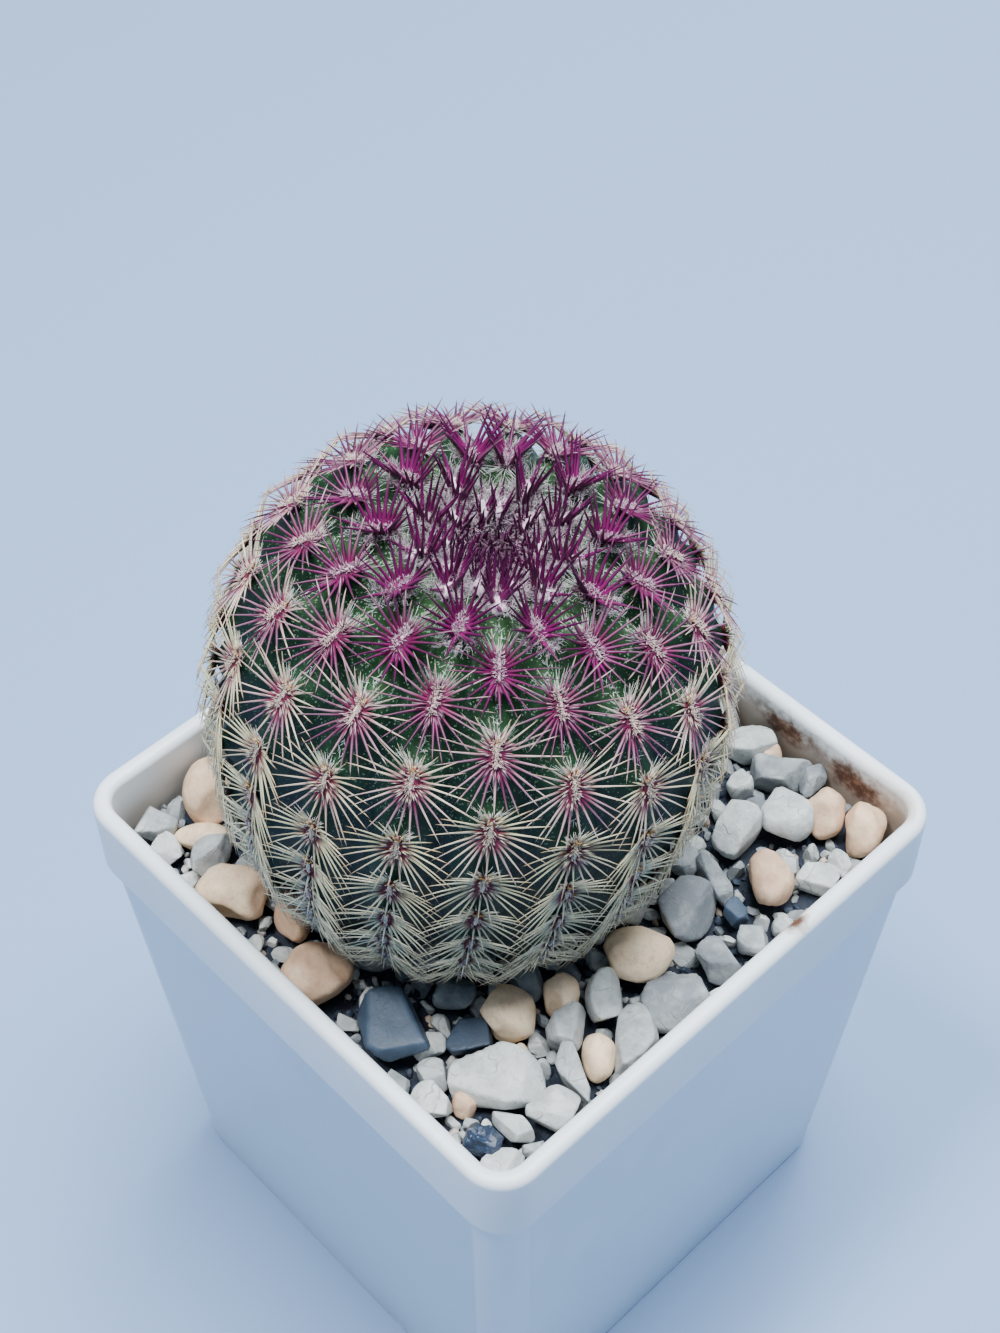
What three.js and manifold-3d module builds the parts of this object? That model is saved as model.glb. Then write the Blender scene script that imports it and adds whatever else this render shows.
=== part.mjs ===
// Potted rainbow hedgehog cactus: a ribbed stem set with combs of spines, in a square white plastic
// pot of soil that is dressed with stone chips and pebbles.
// Millimetres, +Z up. The origin is the middle of the pot's base, X and Y run along the pot's sides.
import * as THREE from "three";
import { mergeVertices } from "three/addons/utils/BufferGeometryUtils.js";
import Module from "manifold-3d";

const wasm = await Module();
wasm.setup();

// Driving sizes of the pot
const pot = {
  rimSide: 80,
  footSide: 70.6,
  height: 88,
  rimRadius: 6,
  footRadius: 5,
  collarHeight: 13,
  collarStep: 0.9,
  collarRise: 1.2,
  rimWall: 2.5,
  wall: 1.8,
  floor: 2.4,
  fillet: 1,
  footRing: 8,
  footRecess: 1.2,
  footBevel: 0.6,
  drainHole: 8,
  drainSpacing: 44,
};

// Driving sizes of the filling
const soilTop = 72;
const bedTop = 76;
const stoneSink = 0.8;

// Air between pieces that rest on or against each other
const seatGap = 0.3;

// Driving sizes of the stem. Heights are measured along its leaning axis from where it enters the gravel.
const stem = {
  baseX: -7.8,
  baseY: -4.1,
  gravelHeight: 79,
  lean: 7.35,
  leanTowards: 20.3,
  radius: 30.4,
  widestAt: 32.2,
  crownRise: 27.9,
  crownRoundness: 2.43,
  crownDip: 5,
  dipRadius: 7.5,
  bellyBottom: 1,
  bellyRoundness: 2.49,
  neckRadius: 13,
  rootRadius: 10,
  rootDepth: 13,
  ribs: 19,
  frontRib: -41.3,
  grooveDepth: 2.6,
  tubercle: 0.5,
};

// Driving sizes of the areoles and their spines
const areole = {
  firstArc: 17.7,
  pitch: 8.98,
  crownShrink: 0.85,
  lowShrink: 0.55,
  halfLength: 1.9,
  halfWidth: 0.85,
  cushion: 0.3,
  edgeDrop: 0.35,
};
const spine = {
  crownLength: 7.2,
  flankLength: 8,
  lowLength: 6.4,
  crownRise: 66,
  flankRise: 19,
  footWidth: 1,
  clearance: 0.1,
  inCrownFan: 5,
  inFlankFan: 7,
  inLowFan: 6,
};

const radians = THREE.MathUtils.degToRad;
const lerp = THREE.MathUtils.lerp;
const smoothstep = THREE.MathUtils.smoothstep;

// Seeded random numbers, so that every run lays the same stones.
function seededRandom(seed) {
  let state = seed;
  return () => {
    state = (state * 1664525 + 1013904223) % 4294967296;
    return state / 4294967296;
  };
}

// A closed surface through a stack of rings with equal numbers of points, fanned shut at both ends.
// The rings run from the lower pole outwards and up, each one anticlockwise seen from above.
function stackRings(firstPole, rings, lastPole) {
  const points = [firstPole, ...rings.flat(), lastPole];
  const count = rings[0].length;
  const index = [];
  const at = (ring, i) => 1 + ring * count + (i % count);
  const last = points.length - 1;
  for (let i = 0; i < count; i++) {
    index.push(0, at(0, i + 1), at(0, i));
    for (let ring = 0; ring + 1 < rings.length; ring++) {
      index.push(at(ring, i), at(ring, i + 1), at(ring + 1, i + 1));
      index.push(at(ring, i), at(ring + 1, i + 1), at(ring + 1, i));
    }
    index.push(at(rings.length - 1, i), at(rings.length - 1, i + 1), last);
  }
  const geometry = new THREE.BufferGeometry().setFromPoints(points);
  geometry.setIndex(index);
  return geometry;
}

// Solids for cutting and joining
function toSolid(geometry) {
  const bare = geometry.clone();
  bare.deleteAttribute("normal");
  bare.deleteAttribute("uv");
  const merged = mergeVertices(bare, 1e-4);
  return new wasm.Manifold(
    new wasm.Mesh({
      numProp: 3,
      vertProperties: new Float32Array(merged.attributes.position.array),
      triVerts: new Uint32Array(merged.index.array),
    }),
  );
}

function toGeometry(solid) {
  const mesh = solid.getMesh();
  const geometry = new THREE.BufferGeometry();
  geometry.setAttribute("position", new THREE.BufferAttribute(mesh.vertProperties, 3));
  geometry.setIndex(new THREE.BufferAttribute(mesh.triVerts, 1));
  return geometry;
}

// The one large body of a solid, without the scraps that a cut leaves.
function largestBody(solid) {
  return solid.decompose().reduce((best, body) => (body.volume() > best.volume() ? body : best));
}

// Joins solids in pairs, so that no join works on more than it has to.
function joinAll(solids) {
  let parts = solids;
  while (parts.length > 1) {
    const joined = [];
    for (let i = 0; i < parts.length; i += 2) {
      joined.push(i + 1 < parts.length ? parts[i].add(parts[i + 1]) : parts[i]);
    }
    parts = joined;
  }
  return parts[0];
}

// The pot: square with rounded corners, tapering to its foot

const cornerSteps = 4;

function squareRing(side, radius, z) {
  const points = [];
  const centre = side / 2 - radius;
  for (let corner = 0; corner < 4; corner++) {
    const middle = Math.PI / 4 + (corner * Math.PI) / 2;
    for (let step = 0; step <= cornerSteps; step++) {
      const angle = middle + ((step / cornerSteps - 0.5) * Math.PI) / 2;
      const x = Math.SQRT2 * centre * Math.cos(middle) + radius * Math.cos(angle);
      const y = Math.SQRT2 * centre * Math.sin(middle) + radius * Math.sin(angle);
      points.push(new THREE.Vector3(x, y, z));
    }
  }
  return points;
}

const collarBottom = pot.height - pot.collarHeight;
const shoulderSide = pot.rimSide - 2 * pot.collarStep;

// Side and corner radius of the tapering wall's outer face at a height.
function outerSide(z) {
  return lerp(pot.footSide, shoulderSide, z / collarBottom);
}

function cornerRadius(z) {
  return lerp(pot.footRadius, pot.rimRadius, z / pot.height);
}

// The inner face, drawn in by an extra gap where something stands inside it.
function innerRing(z, gap) {
  return squareRing(outerSide(z) - 2 * (pot.wall + gap), cornerRadius(z) - pot.wall - gap, z);
}

function rimBore(z, gap) {
  const inset = pot.rimWall + gap;
  return squareRing(pot.rimSide - 2 * inset, pot.rimRadius - inset, z);
}

function potGeometry() {
  const footInner = pot.footSide - 2 * pot.footRing;
  const floorSide = outerSide(pot.floor) - 2 * (pot.wall + pot.fillet);
  const lip = pot.rimWall / 2;
  const lipArc = [0, 30, 60, 90, 120, 150, 180].map((degrees) => {
    const inset = lip - lip * Math.cos(radians(degrees));
    const z = pot.height - lip + lip * Math.sin(radians(degrees));
    return squareRing(pot.rimSide - 2 * inset, pot.rimRadius - inset, z);
  });
  const rings = [
    squareRing(footInner, pot.footRadius - 2, pot.footRecess),
    squareRing(footInner + 1, pot.footRadius - 1.5, 0),
    squareRing(pot.footSide - 2 * pot.footBevel, pot.footRadius - pot.footBevel, 0),
    squareRing(outerSide(pot.footBevel), cornerRadius(pot.footBevel), pot.footBevel),
    squareRing(outerSide(collarBottom), cornerRadius(collarBottom), collarBottom),
    squareRing(pot.rimSide, pot.rimRadius, collarBottom + pot.collarRise),
    ...lipArc,
    rimBore(collarBottom + pot.fillet, 0),
    innerRing(collarBottom, 0),
    innerRing(pot.floor + pot.fillet, 0),
    squareRing(floorSide, pot.footRadius - pot.wall - pot.fillet, pot.floor),
  ];
  const middle = (z) => new THREE.Vector3(0, 0, z);
  return stackRings(middle(pot.footRecess), rings, middle(pot.floor));
}

function drainHoles() {
  const reach = pot.drainSpacing / 2;
  const places = [[0, 0], [-reach, -reach], [reach, -reach], [reach, reach], [-reach, reach]];
  return places.map(([x, y]) => {
    const hole = new THREE.CylinderGeometry(pot.drainHole / 2, pot.drainHole / 2, 3 * pot.floor, 12);
    hole.rotateX(Math.PI / 2);
    hole.translate(x, y, 0);
    return toSolid(hole);
  });
}

function makePot() {
  return toGeometry(toSolid(potGeometry()).subtract(joinAll(drainHoles())));
}

// The stem's outline: a crown with a dip in its middle, a round belly and a neck that runs down to the
// root. It is sampled once and then read by the arc's length from the middle of the crown.

const outlineSteps = 160;

function sampleOutline() {
  const points = [];
  for (let step = 0; step <= outlineSteps; step++) {
    const angle = (step / outlineSteps) * (Math.PI / 2);
    const r = stem.radius * Math.sin(angle) ** (2 / stem.crownRoundness);
    const rise = stem.crownRise * Math.cos(angle) ** (2 / stem.crownRoundness);
    const dip = stem.crownDip * Math.exp(-((r / stem.dipRadius) ** 2));
    points.push(new THREE.Vector2(r, stem.widestAt + rise - dip));
  }
  for (let step = 1; step <= outlineSteps; step++) {
    const angle = (step / outlineSteps) * (Math.PI / 2);
    const out = Math.cos(angle) ** (2 / stem.bellyRoundness);
    const down = Math.sin(angle) ** (2 / stem.bellyRoundness);
    const r = lerp(stem.neckRadius, stem.radius, out);
    points.push(new THREE.Vector2(r, lerp(stem.widestAt, stem.bellyBottom, down)));
  }
  const arcs = [0];
  for (let i = 1; i < points.length; i++) {
    arcs.push(arcs[i - 1] + points[i].distanceTo(points[i - 1]));
  }
  const length = arcs[arcs.length - 1];
  return { points, arcs, length, belly: length - arcs[outlineSteps] };
}

const outline = sampleOutline();

// The outline's point at an arc length, with the direction up the rib and the one out of the skin.
function outlineAt(arc) {
  const { points, arcs } = outline;
  let i = 1;
  while (i < arcs.length - 1 && arcs[i] < arc) i++;
  const share = (arc - arcs[i - 1]) / (arcs[i] - arcs[i - 1]);
  const point = points[i - 1].clone().lerp(points[i], share);
  const along = points[i].clone().sub(points[i - 1]).normalize();
  return { r: point.x, z: point.y, up: [-along.x, -along.y], out: [-along.y, along.x] };
}

// Where areole number j of a rib lies along the outline. They crowd together in the crown and at the belly.
function areoleArc(j) {
  if (j < -1) return (areole.firstArc - areole.pitch) * Math.exp(areole.crownShrink * (j + 1));
  const low = THREE.MathUtils.clamp(j - 2, 0, 3.5);
  const crowding = areole.lowShrink * low * (2 * Math.max(0, j - 2) - low);
  return areole.firstArc + areole.pitch * j - crowding;
}

const firstAreole = -2;
const lastAreole = 8.5;
const halfRibs = (stem.ribs - 1) / 2;

// A point in the stem's own frame, and its directions, from an arc length, an angle and a height above
// the skin.
function onStem(arc, angle, height) {
  const at = outlineAt(arc);
  const turned = ([r, z]) => new THREE.Vector3(r * Math.cos(angle), r * Math.sin(angle), z);
  const point = turned([at.r + at.out[0] * height, at.z + at.out[1] * height]);
  const across = new THREE.Vector3(-Math.sin(angle), Math.cos(angle), 0);
  return { point, up: turned(at.up), out: turned(at.out), across };
}

function ribAngle(rib) {
  return radians(stem.frontRib) + (rib * 2 * Math.PI) / stem.ribs;
}

// Ribs are counted both ways from the front one, so the odd pair meets at the back.
// Ribs with even numbers have areoles at whole places, the others half way between them.
function onAreolePlace(rib, j) {
  return Number.isInteger(j) === (rib % 2 === 0);
}

function carriesAreole(rib, j) {
  return onAreolePlace(rib, j) && j >= firstAreole && j <= lastAreole;
}

function grooveDepth(arc) {
  const fromCrown = smoothstep(arc, 3, 22);
  const fromNeck = 1 - smoothstep(arc, outline.length - 16, outline.length);
  return stem.grooveDepth * fromCrown * fromNeck;
}

// The stem's surface is a net with a crest and a groove for each rib. Each areole is a small raised star
// on a crest: a ring round its cushion, with a spine drawn out of every other piece of the star.

class Net {
  points = [];
  corners = [];
  addPoint(point) {
    return this.points.push(point) - 1;
  }
  addFace(a, b, c) {
    this.corners.push(a, b, c);
  }
  toGeometry() {
    const geometry = new THREE.BufferGeometry().setFromPoints(this.points);
    geometry.setIndex(this.corners);
    return geometry;
  }
}

// The least air between two tapering spines, looked for at steps along the first.
function gapBetween(a, b) {
  const line = new THREE.Line3(b.foot, b.tip);
  const nearest = new THREE.Vector3();
  let gap = Infinity;
  for (let step = 0; step <= 24; step++) {
    const share = step / 24;
    const point = a.foot.clone().lerp(a.tip, share);
    const other = line.closestPointToPointParameter(point, true);
    line.at(other, nearest);
    const flesh = (spine.footWidth * (2 - share - other)) / 2;
    gap = Math.min(gap, point.distanceTo(nearest) - flesh);
  }
  return gap;
}

// Where the spines already stand, so that a new one can be bent clear of them.
const standing = [];
const lifts = [0, 6, 12, 18, 24];
const swings = [0, 6, -6, 12, -12, 18, -18, 24, -24];
const bends = lifts.flatMap((lift) => swings.map((swing) => [swing, lift]));

function bentClear(star, foot, angle, rise, length) {
  let best = { gap: -1 };
  for (const [swing, lift] of bends) {
    const turned = angle + radians(swing);
    const lifted = rise + radians(lift);
    const tip = foot.clone();
    tip.addScaledVector(star.across, length * Math.cos(lifted) * Math.cos(turned));
    tip.addScaledVector(star.up, length * Math.cos(lifted) * Math.sin(turned));
    tip.addScaledVector(star.stand, length * Math.sin(lifted));
    const isNear = (other) => other.star !== star && other.foot.distanceTo(foot) < 2.2 * length;
    const near = standing.filter(isNear);
    const gap = Math.min(Infinity, ...near.map((other) => gapBetween({ foot, tip }, other)));
    if (gap > best.gap) best = { gap, tip };
    if (gap > spine.clearance) break;
  }
  standing.push({ star, foot, tip: best.tip });
  return best.tip;
}

// How an areole's spines stand: up in the crown, flat along the skin on the flank.
function spineHabit(arc) {
  const inCrown = 1 - smoothstep(arc, 6, 30);
  const lowDown = smoothstep(arc, 45, 65);
  const flankLength = lerp(spine.flankLength, spine.lowLength, lowDown);
  const outer = arc < 58 ? spine.inFlankFan : spine.inLowFan;
  return {
    inCrown,
    rise: radians(lerp(spine.flankRise, spine.crownRise, inCrown)),
    length: lerp(flankLength, spine.crownLength, inCrown),
    count: arc < 10 ? spine.inCrownFan : outer,
  };
}

// Builds the star of one areole inside the rhombus of its four neighbours: right, above, left and below.
function addStar(net, rib, arc, centre, neighbours) {
  const star = onStem(arc, ribAngle(rib), 0);
  const habit = spineHabit(arc);
  star.stand = star.out.clone().lerp(new THREE.Vector3(0, 0, 1), 0.7 * habit.inCrown).normalize();
  const crest = net.points[centre];
  const room = neighbours.map((corner) => net.points[corner].distanceTo(crest));
  const halfWidth = Math.min(areole.halfWidth, 0.42 * Math.min(room[0], room[2]));
  const halfLength = Math.min(areole.halfLength, 0.42 * Math.min(room[1], room[3]));
  const drop = (areole.edgeDrop * halfWidth) / areole.halfWidth;
  const step = Math.PI / habit.count;
  const start = rib % 2 === 0 ? 0 : step;
  const onRing = (angle) => {
    const point = crest.clone();
    point.addScaledVector(star.across, halfWidth * Math.cos(angle));
    point.addScaledVector(star.up, halfLength * Math.sin(angle));
    return point.addScaledVector(star.out, -drop);
  };
  const ring = [];
  for (let i = 0; i < 2 * habit.count; i++) ring.push(net.addPoint(onRing(start + i * step)));
  crest.addScaledVector(star.out, areole.cushion);
  const first = Math.round((start + 0.5 * step) / (Math.PI / 2)) % 4;
  let corner = first;
  for (let i = 0; i < ring.length; i++) {
    const a = ring[i];
    const b = ring[(i + 1) % ring.length];
    const middle = start + (i + 0.5) * step;
    const nearest = Math.round(middle / (Math.PI / 2)) % 4;
    if (nearest !== corner) {
      net.addFace(a, neighbours[corner], neighbours[nearest]);
      corner = nearest;
    }
    net.addFace(a, neighbours[corner], b);
    if (i % 2 === 0) {
      const tip = net.addPoint(bentClear(star, onRing(middle), middle, habit.rise, habit.length));
      net.addFace(centre, a, tip);
      net.addFace(a, b, tip);
      net.addFace(b, centre, tip);
    } else {
      net.addFace(centre, a, b);
    }
  }
  if (first !== corner) net.addFace(ring[0], neighbours[corner], neighbours[first]);
}

function makeCactus() {
  const net = new Net();
  const rows = [];
  for (let j = firstAreole - 0.5; j <= lastAreole + 0.5; j += 0.5) {
    const arc = Math.min(areoleArc(j), outline.length);
    const swell = stem.tubercle * smoothstep(arc, 2, 14);
    const row = { j, arc, crests: [], grooves: [] };
    for (let rib = -halfRibs; rib <= halfRibs; rib++) {
      const height = carriesAreole(rib, j) ? swell : -swell;
      row.crests.push(net.addPoint(onStem(arc, ribAngle(rib), height).point));
      row.grooves.push(net.addPoint(onStem(arc, ribAngle(rib + 0.5), -grooveDepth(arc)).point));
    }
    rows.push(row);
  }
  const groove = (row, i) => row.grooves[(i + stem.ribs) % stem.ribs];
  for (let n = 0; n + 1 < rows.length; n++) {
    for (let i = 0; i < stem.ribs; i++) {
      const rib = i - halfRibs;
      const lowerBears = onAreolePlace(rib, rows[n + 1].j);
      const [bearing, other] = lowerBears ? [rows[n + 1], rows[n]] : [rows[n], rows[n + 1]];
      const addTurned = (a, b, c) => (lowerBears ? net.addFace(a, b, c) : net.addFace(a, c, b));
      addTurned(other.crests[i], groove(bearing, i), groove(other, i));
      addTurned(other.crests[i], groove(other, i - 1), groove(bearing, i - 1));
      if (!carriesAreole(rib, bearing.j)) {
        addTurned(other.crests[i], bearing.crests[i], groove(bearing, i));
        addTurned(other.crests[i], groove(bearing, i - 1), bearing.crests[i]);
      }
    }
  }
  for (let n = 1; n + 1 < rows.length; n++) {
    for (let i = 0; i < stem.ribs; i++) {
      const rib = i - halfRibs;
      if (!carriesAreole(rib, rows[n].j)) continue;
      const beside = [groove(rows[n], i), groove(rows[n], i - 1)];
      const neighbours = [beside[0], rows[n - 1].crests[i], beside[1], rows[n + 1].crests[i]];
      addStar(net, rib, rows[n].arc, rows[n].crests[i], neighbours);
    }
  }
  addCrownMiddle(net, rows[0]);
  addNeck(net, rows[rows.length - 1]);
  return net.toGeometry();
}

// The row's points in order round the stem: crest, groove, crest, groove and so on.
function roundRow(row) {
  return row.crests.flatMap((crest, i) => [crest, row.grooves[i]]);
}

function addCrownMiddle(net, row) {
  const around = roundRow(row);
  const middle = net.addPoint(onStem(0, 0, 0).point);
  around.forEach((point, i) => net.addFace(middle, point, around[(i + 1) % around.length]));
}

// The neck runs down through the gravel into the soil.
function addNeck(net, row) {
  let above = roundRow(row);
  for (const [radius, z] of [[stem.neckRadius, stem.bellyBottom], [stem.rootRadius, -stem.rootDepth]]) {
    const below = above.map((_, i) => {
      const angle = ribAngle(i / 2 - halfRibs);
      return net.addPoint(new THREE.Vector3(radius * Math.cos(angle), radius * Math.sin(angle), z));
    });
    above.forEach((point, i) => {
      const next = (i + 1) % above.length;
      net.addFace(point, below[i], below[next]);
      net.addFace(point, below[next], above[next]);
    });
    above = below;
  }
  const foot = net.addPoint(new THREE.Vector3(0, 0, -stem.rootDepth));
  above.forEach((point, i) => net.addFace(foot, above[(i + 1) % above.length], point));
}

// The plant stands in its own frame, which leans: its origin is where the stem's axis enters the gravel.
const plant = new THREE.Group();
plant.position.set(stem.baseX, stem.baseY, stem.gravelHeight);
const towards = radians(stem.leanTowards);
const tiltAxis = new THREE.Vector3(-Math.sin(towards), Math.cos(towards), 0);
plant.quaternion.setFromAxisAngle(tiltAxis, radians(stem.lean));
plant.updateMatrixWorld();

// The room that the plant takes up below its widest ring: the root and neck, and the belly with its spines.
// The root's room is a ring of flats round a circle, so it is a little wider than the gap alone asks for.
const spineRoom = 4.1;
const roomSides = 24;
const rootGap = seatGap + 0.15;
const bellyShares = [0.84, 0.75, 0.6, 0.4, 0.2, 0];

function plantRoom() {
  const circle = (radius, z) =>
    Array.from({ length: roomSides }, (_, i) => {
      const angle = (i / roomSides) * 2 * Math.PI;
      return new THREE.Vector3(radius * Math.cos(angle), radius * Math.sin(angle), z);
    });
  const rings = [
    circle(stem.rootRadius + rootGap, -stem.rootDepth - seatGap),
    circle(stem.neckRadius + rootGap, stem.bellyBottom - 1.5),
  ];
  for (const share of bellyShares) {
    const { r, z, out } = outlineAt(outline.length - (1 - share) * outline.belly);
    rings.push(circle(r + out[0] * spineRoom, z + out[1] * spineRoom));
  }
  const pole = (z) => new THREE.Vector3(0, 0, z);
  const geometry = stackRings(pole(-stem.rootDepth - seatGap), rings, pole(stem.widestAt));
  return toSolid(geometry.applyMatrix4(plant.matrixWorld));
}

// Soil fills the pot to below the top dressing, with a plain hole for the root.
const potMiddle = (z) => new THREE.Vector3(0, 0, z);

function makeSoil() {
  const bottom = pot.floor + seatGap;
  const rings = [
    innerRing(bottom, seatGap + pot.fillet),
    innerRing(bottom + 2 * pot.fillet, seatGap),
    innerRing(soilTop, seatGap),
  ];
  const block = stackRings(potMiddle(bottom), rings, potMiddle(soilTop));
  return toGeometry(toSolid(block).subtract(plantRoom()));
}

// The stones of the two front sides lie in these lists, each given as where it lies, its length, width and
// height, and the way its length points.

const tanPebbles = [
  [-32, -24.5, 9.4, 7.8, 8, 136],
  [-18.2, -31.9, 9.6, 7.6, 7.2, 30],
  [-10.2, -28.6, 7.4, 5, 6.4, 136],
  [-1.8, -32, 9.4, 8.6, 8, 46],
  [24.8, -0.7, 8.8, 7.8, 7.6, 60],
  [19, -18, 7.4, 6.8, 6.6, 20],
  [21.6, -11.6, 5.4, 4.6, 6, 136],
  [23.6, -20.6, 3, 2.6, 3.4, 0],
  [30.6, -14, 6.6, 4.4, 5.6, 130],
  [23.4, -30.4, 3.2, 2.8, 4, 0],
  [29.1, 19.4, 8.2, 5.8, 6.8, 140],
  [27, 31, 6.8, 5.6, 7.4, 120],
  [32.6, 33, 7.6, 5.6, 7.6, 110],
  [15.4, 35, 3.2, 2.8, 4.6, 0],
  [-27.8, -29.2, 8.2, 4, 4.4, 40],
];

const darkStones = [
  [10.6, -29.9, 11, 9.4, 6.4, 20],
  [17.4, -23.8, 6, 5, 4.4, 60],
  [28.9, 13, 4.4, 3.4, 4.6, 120],
];

const crystalChips = [[29, -32.2, 5.2, 4, 5.2, 20]];

const greyChips = [
  [14.8, -28.1, 4.4, 3.8, 4.6, 46],
  [18.2, -30.4, 4.6, 4, 4.4, 10],
  [20.8, -33.2, 5.4, 4.6, 4.8, 20],
  [24.4, -25.4, 12.2, 8, 6.4, 32],
  [28.2, -28.6, 5, 3.4, 4.6, -20],
  [33, -33, 5.6, 4, 5, 46],
  [34.2, -28.4, 3, 3, 3.6, 0],
  [32.2, -23.6, 6.8, 6, 6, 46],
  [30.4, -18.4, 9.6, 3.6, 5.4, -22],
  [32.4, -9.2, 9.2, 5.4, 6, 130],
  [25.8, -14, 6.4, 5.2, 5.6, 90],
  [25.6, -8, 7.4, 5, 6.4, 130],
  [32.2, -1.6, 9.6, 8, 6.2, 56],
  [32, 6.4, 6.4, 5.6, 5.6, 20],
  [33, 11.6, 4.6, 4.4, 4.4, 0],
  [24.4, 8.8, 9.4, 8, 6, 150],
  [24, 14.4, 7.6, 3.2, 5, -24],
  [21.4, 22.2, 9, 7, 6.4, 128],
  [23.4, 28, 8.8, 7, 6.6, 140],
  [33.2, 24.4, 7.2, 4.4, 4.8, 80],
  [28.6, 25.2, 4, 3, 3.8, 0],
  [12.4, 34.2, 7.2, 5, 5.6, 40],
  [18.6, 33.6, 8.6, 5, 5.8, 46],
  [22.6, 35, 5.2, 3.8, 5.4, 130],
  [7, 35, 5, 4.2, 5, 0],
  [15.4, 28.4, 4.8, 3.6, 4.8, 136],
  [34.4, 16, 3.4, 2.6, 3.4, 0],
  [33.4, 28.2, 3.4, 3, 3.8, 0],
  [-24.6, -30.6, 7, 4.6, 5.8, 120],
  [-33.2, -32.6, 6, 5.2, 5.4, 120],
  [-29.6, -34, 4.6, 4, 4.2, 0],
];

// The stones of the rest of the bed are dropped by chance, where they find room.
const filling = {
  seed: 11,
  tries: 900,
  closest: 0.9,
  closestTan: 1.15,
  shortest: 5,
  longest: 8.4,
  tanShare: 0.2,
  inset: 34,
};

function fillRoundPlant(laid) {
  const random = seededRandom(filling.seed);
  const added = { tan: [], grey: [] };
  const taken = laid.map(([x, y, length, width]) => [x, y, (length + width) / 4]);
  const neckRoom = stem.neckRadius + spineRoom;
  const halfRoom = pot.rimSide / 2 - pot.rimWall - seatGap;
  for (let i = 0; i < filling.tries; i++) {
    const x = (2 * random() - 1) * filling.inset;
    const y = (2 * random() - 1) * filling.inset;
    const length = lerp(filling.shortest, filling.longest, random());
    const width = length * lerp(0.65, 0.95, random());
    const height = length * lerp(0.6, 0.8, random());
    const turn = 180 * random();
    const isTan = random() < filling.tanShare;
    const reach = (length + width) / 4;
    const inside = Math.max(Math.abs(x), Math.abs(y)) + length / 2 < halfRoom;
    const nearNeck = Math.hypot(x - stem.baseX, y - stem.baseY) < neckRoom + reach;
    const room = isTan ? filling.closestTan : filling.closest;
    const crowded = taken.some(([a, b, size]) => Math.hypot(x - a, y - b) < room * (size + reach));
    if (!inside || nearNeck || crowded) continue;
    taken.push([x, y, reach]);
    added[isTan ? "tan" : "grey"].push([x, y, length, width, height, turn]);
  }
  return added;
}

// A faceted stone: a ball of few faces with its corners moved by chance, then stretched and laid down.
function stoneGeometry([x, y, length, width, height, turn], detail, roughness, random) {
  const ball = new THREE.IcosahedronGeometry(1, detail);
  ball.deleteAttribute("normal");
  ball.deleteAttribute("uv");
  const stone = mergeVertices(ball, 1e-3);
  const corners = stone.attributes.position;
  for (let i = 0; i < corners.count; i++) {
    const size = 1 + roughness * (2 * random() - 1);
    corners.setXYZ(i, corners.getX(i) * size, corners.getY(i) * size, corners.getZ(i) * size);
  }
  stone.rotateX(random() * Math.PI);
  stone.rotateY(random() * Math.PI);
  stone.scale(length / 2, width / 2, height / 2);
  stone.rotateZ(radians(turn));
  stone.translate(x, y, bedTop - stoneSink + height / 2);
  return stone;
}

// The well that a stone takes out of the bed: eight-sided, and just deep enough for the stone to rest in.
const wellSides = 8;

function wellFor(geometry, [x, y, length, width, height, turn]) {
  geometry.computeBoundingBox();
  const bottom = geometry.boundingBox.min.z - seatGap;
  const corner = 1 / Math.cos(Math.PI / wellSides);
  const well = new THREE.CylinderGeometry(corner, corner, height, wellSides);
  well.rotateX(Math.PI / 2);
  well.scale(length / 2 + seatGap, width / 2 + seatGap, 1);
  well.rotateZ(radians(turn));
  return toSolid(well.translate(x, y, bottom + height / 2));
}

function insideOfPot(gap) {
  const low = soilTop + seatGap;
  const rings = [
    innerRing(low, gap),
    innerRing(collarBottom, gap),
    rimBore(collarBottom + pot.fillet, gap),
    rimBore(pot.height, gap),
  ];
  return toSolid(stackRings(potMiddle(low), rings, potMiddle(pot.height)));
}

function gravelBed() {
  const rings = [innerRing(soilTop - 1, -1), innerRing(soilTop - 1, -1)];
  rings[1].forEach((point) => point.setZ(bedTop));
  return toSolid(stackRings(potMiddle(soilTop - 1), rings, potMiddle(bedTop)));
}

// Lays all the stones: those of one colour that lie apart stay separate, and the grey chips and the grit
// under them are one body with a well for each of the others.
function makeStones() {
  const random = seededRandom(5);
  const laid = [...tanPebbles, ...darkStones, ...crystalChips, ...greyChips];
  const fill = fillRoundPlant(laid);
  const room = plantRoom();
  const inside = insideOfPot(seatGap);
  const lay = (stones, detail, roughness) => {
    const shapes = stones.map((stone) => stoneGeometry(stone, detail, roughness, random));
    return { shapes, wells: shapes.map((shape, i) => wellFor(shape, stones[i])) };
  };
  const tan = lay([...tanPebbles, ...fill.tan], 1, 0.05);
  const dark = lay(darkStones, 0, 0.1);
  const crystal = lay(crystalChips, 0, 0.2);
  const grey = lay([...greyChips, ...fill.grey], 0, 0.16);
  const wells = joinAll([...tan.wells, ...dark.wells, ...crystal.wells]);
  const bed = gravelBed().add(joinAll(grey.shapes.map(toSolid)));
  const gravel = largestBody(bed.intersect(inside).subtract(room).subtract(wells));
  const trimmed = (shape) => toGeometry(largestBody(toSolid(shape).intersect(inside).subtract(room)));
  return {
    gravel: toGeometry(gravel),
    tan: tan.shapes.map(trimmed),
    dark: dark.shapes.map(trimmed),
    crystal: crystal.shapes.map(trimmed),
  };
}

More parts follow.
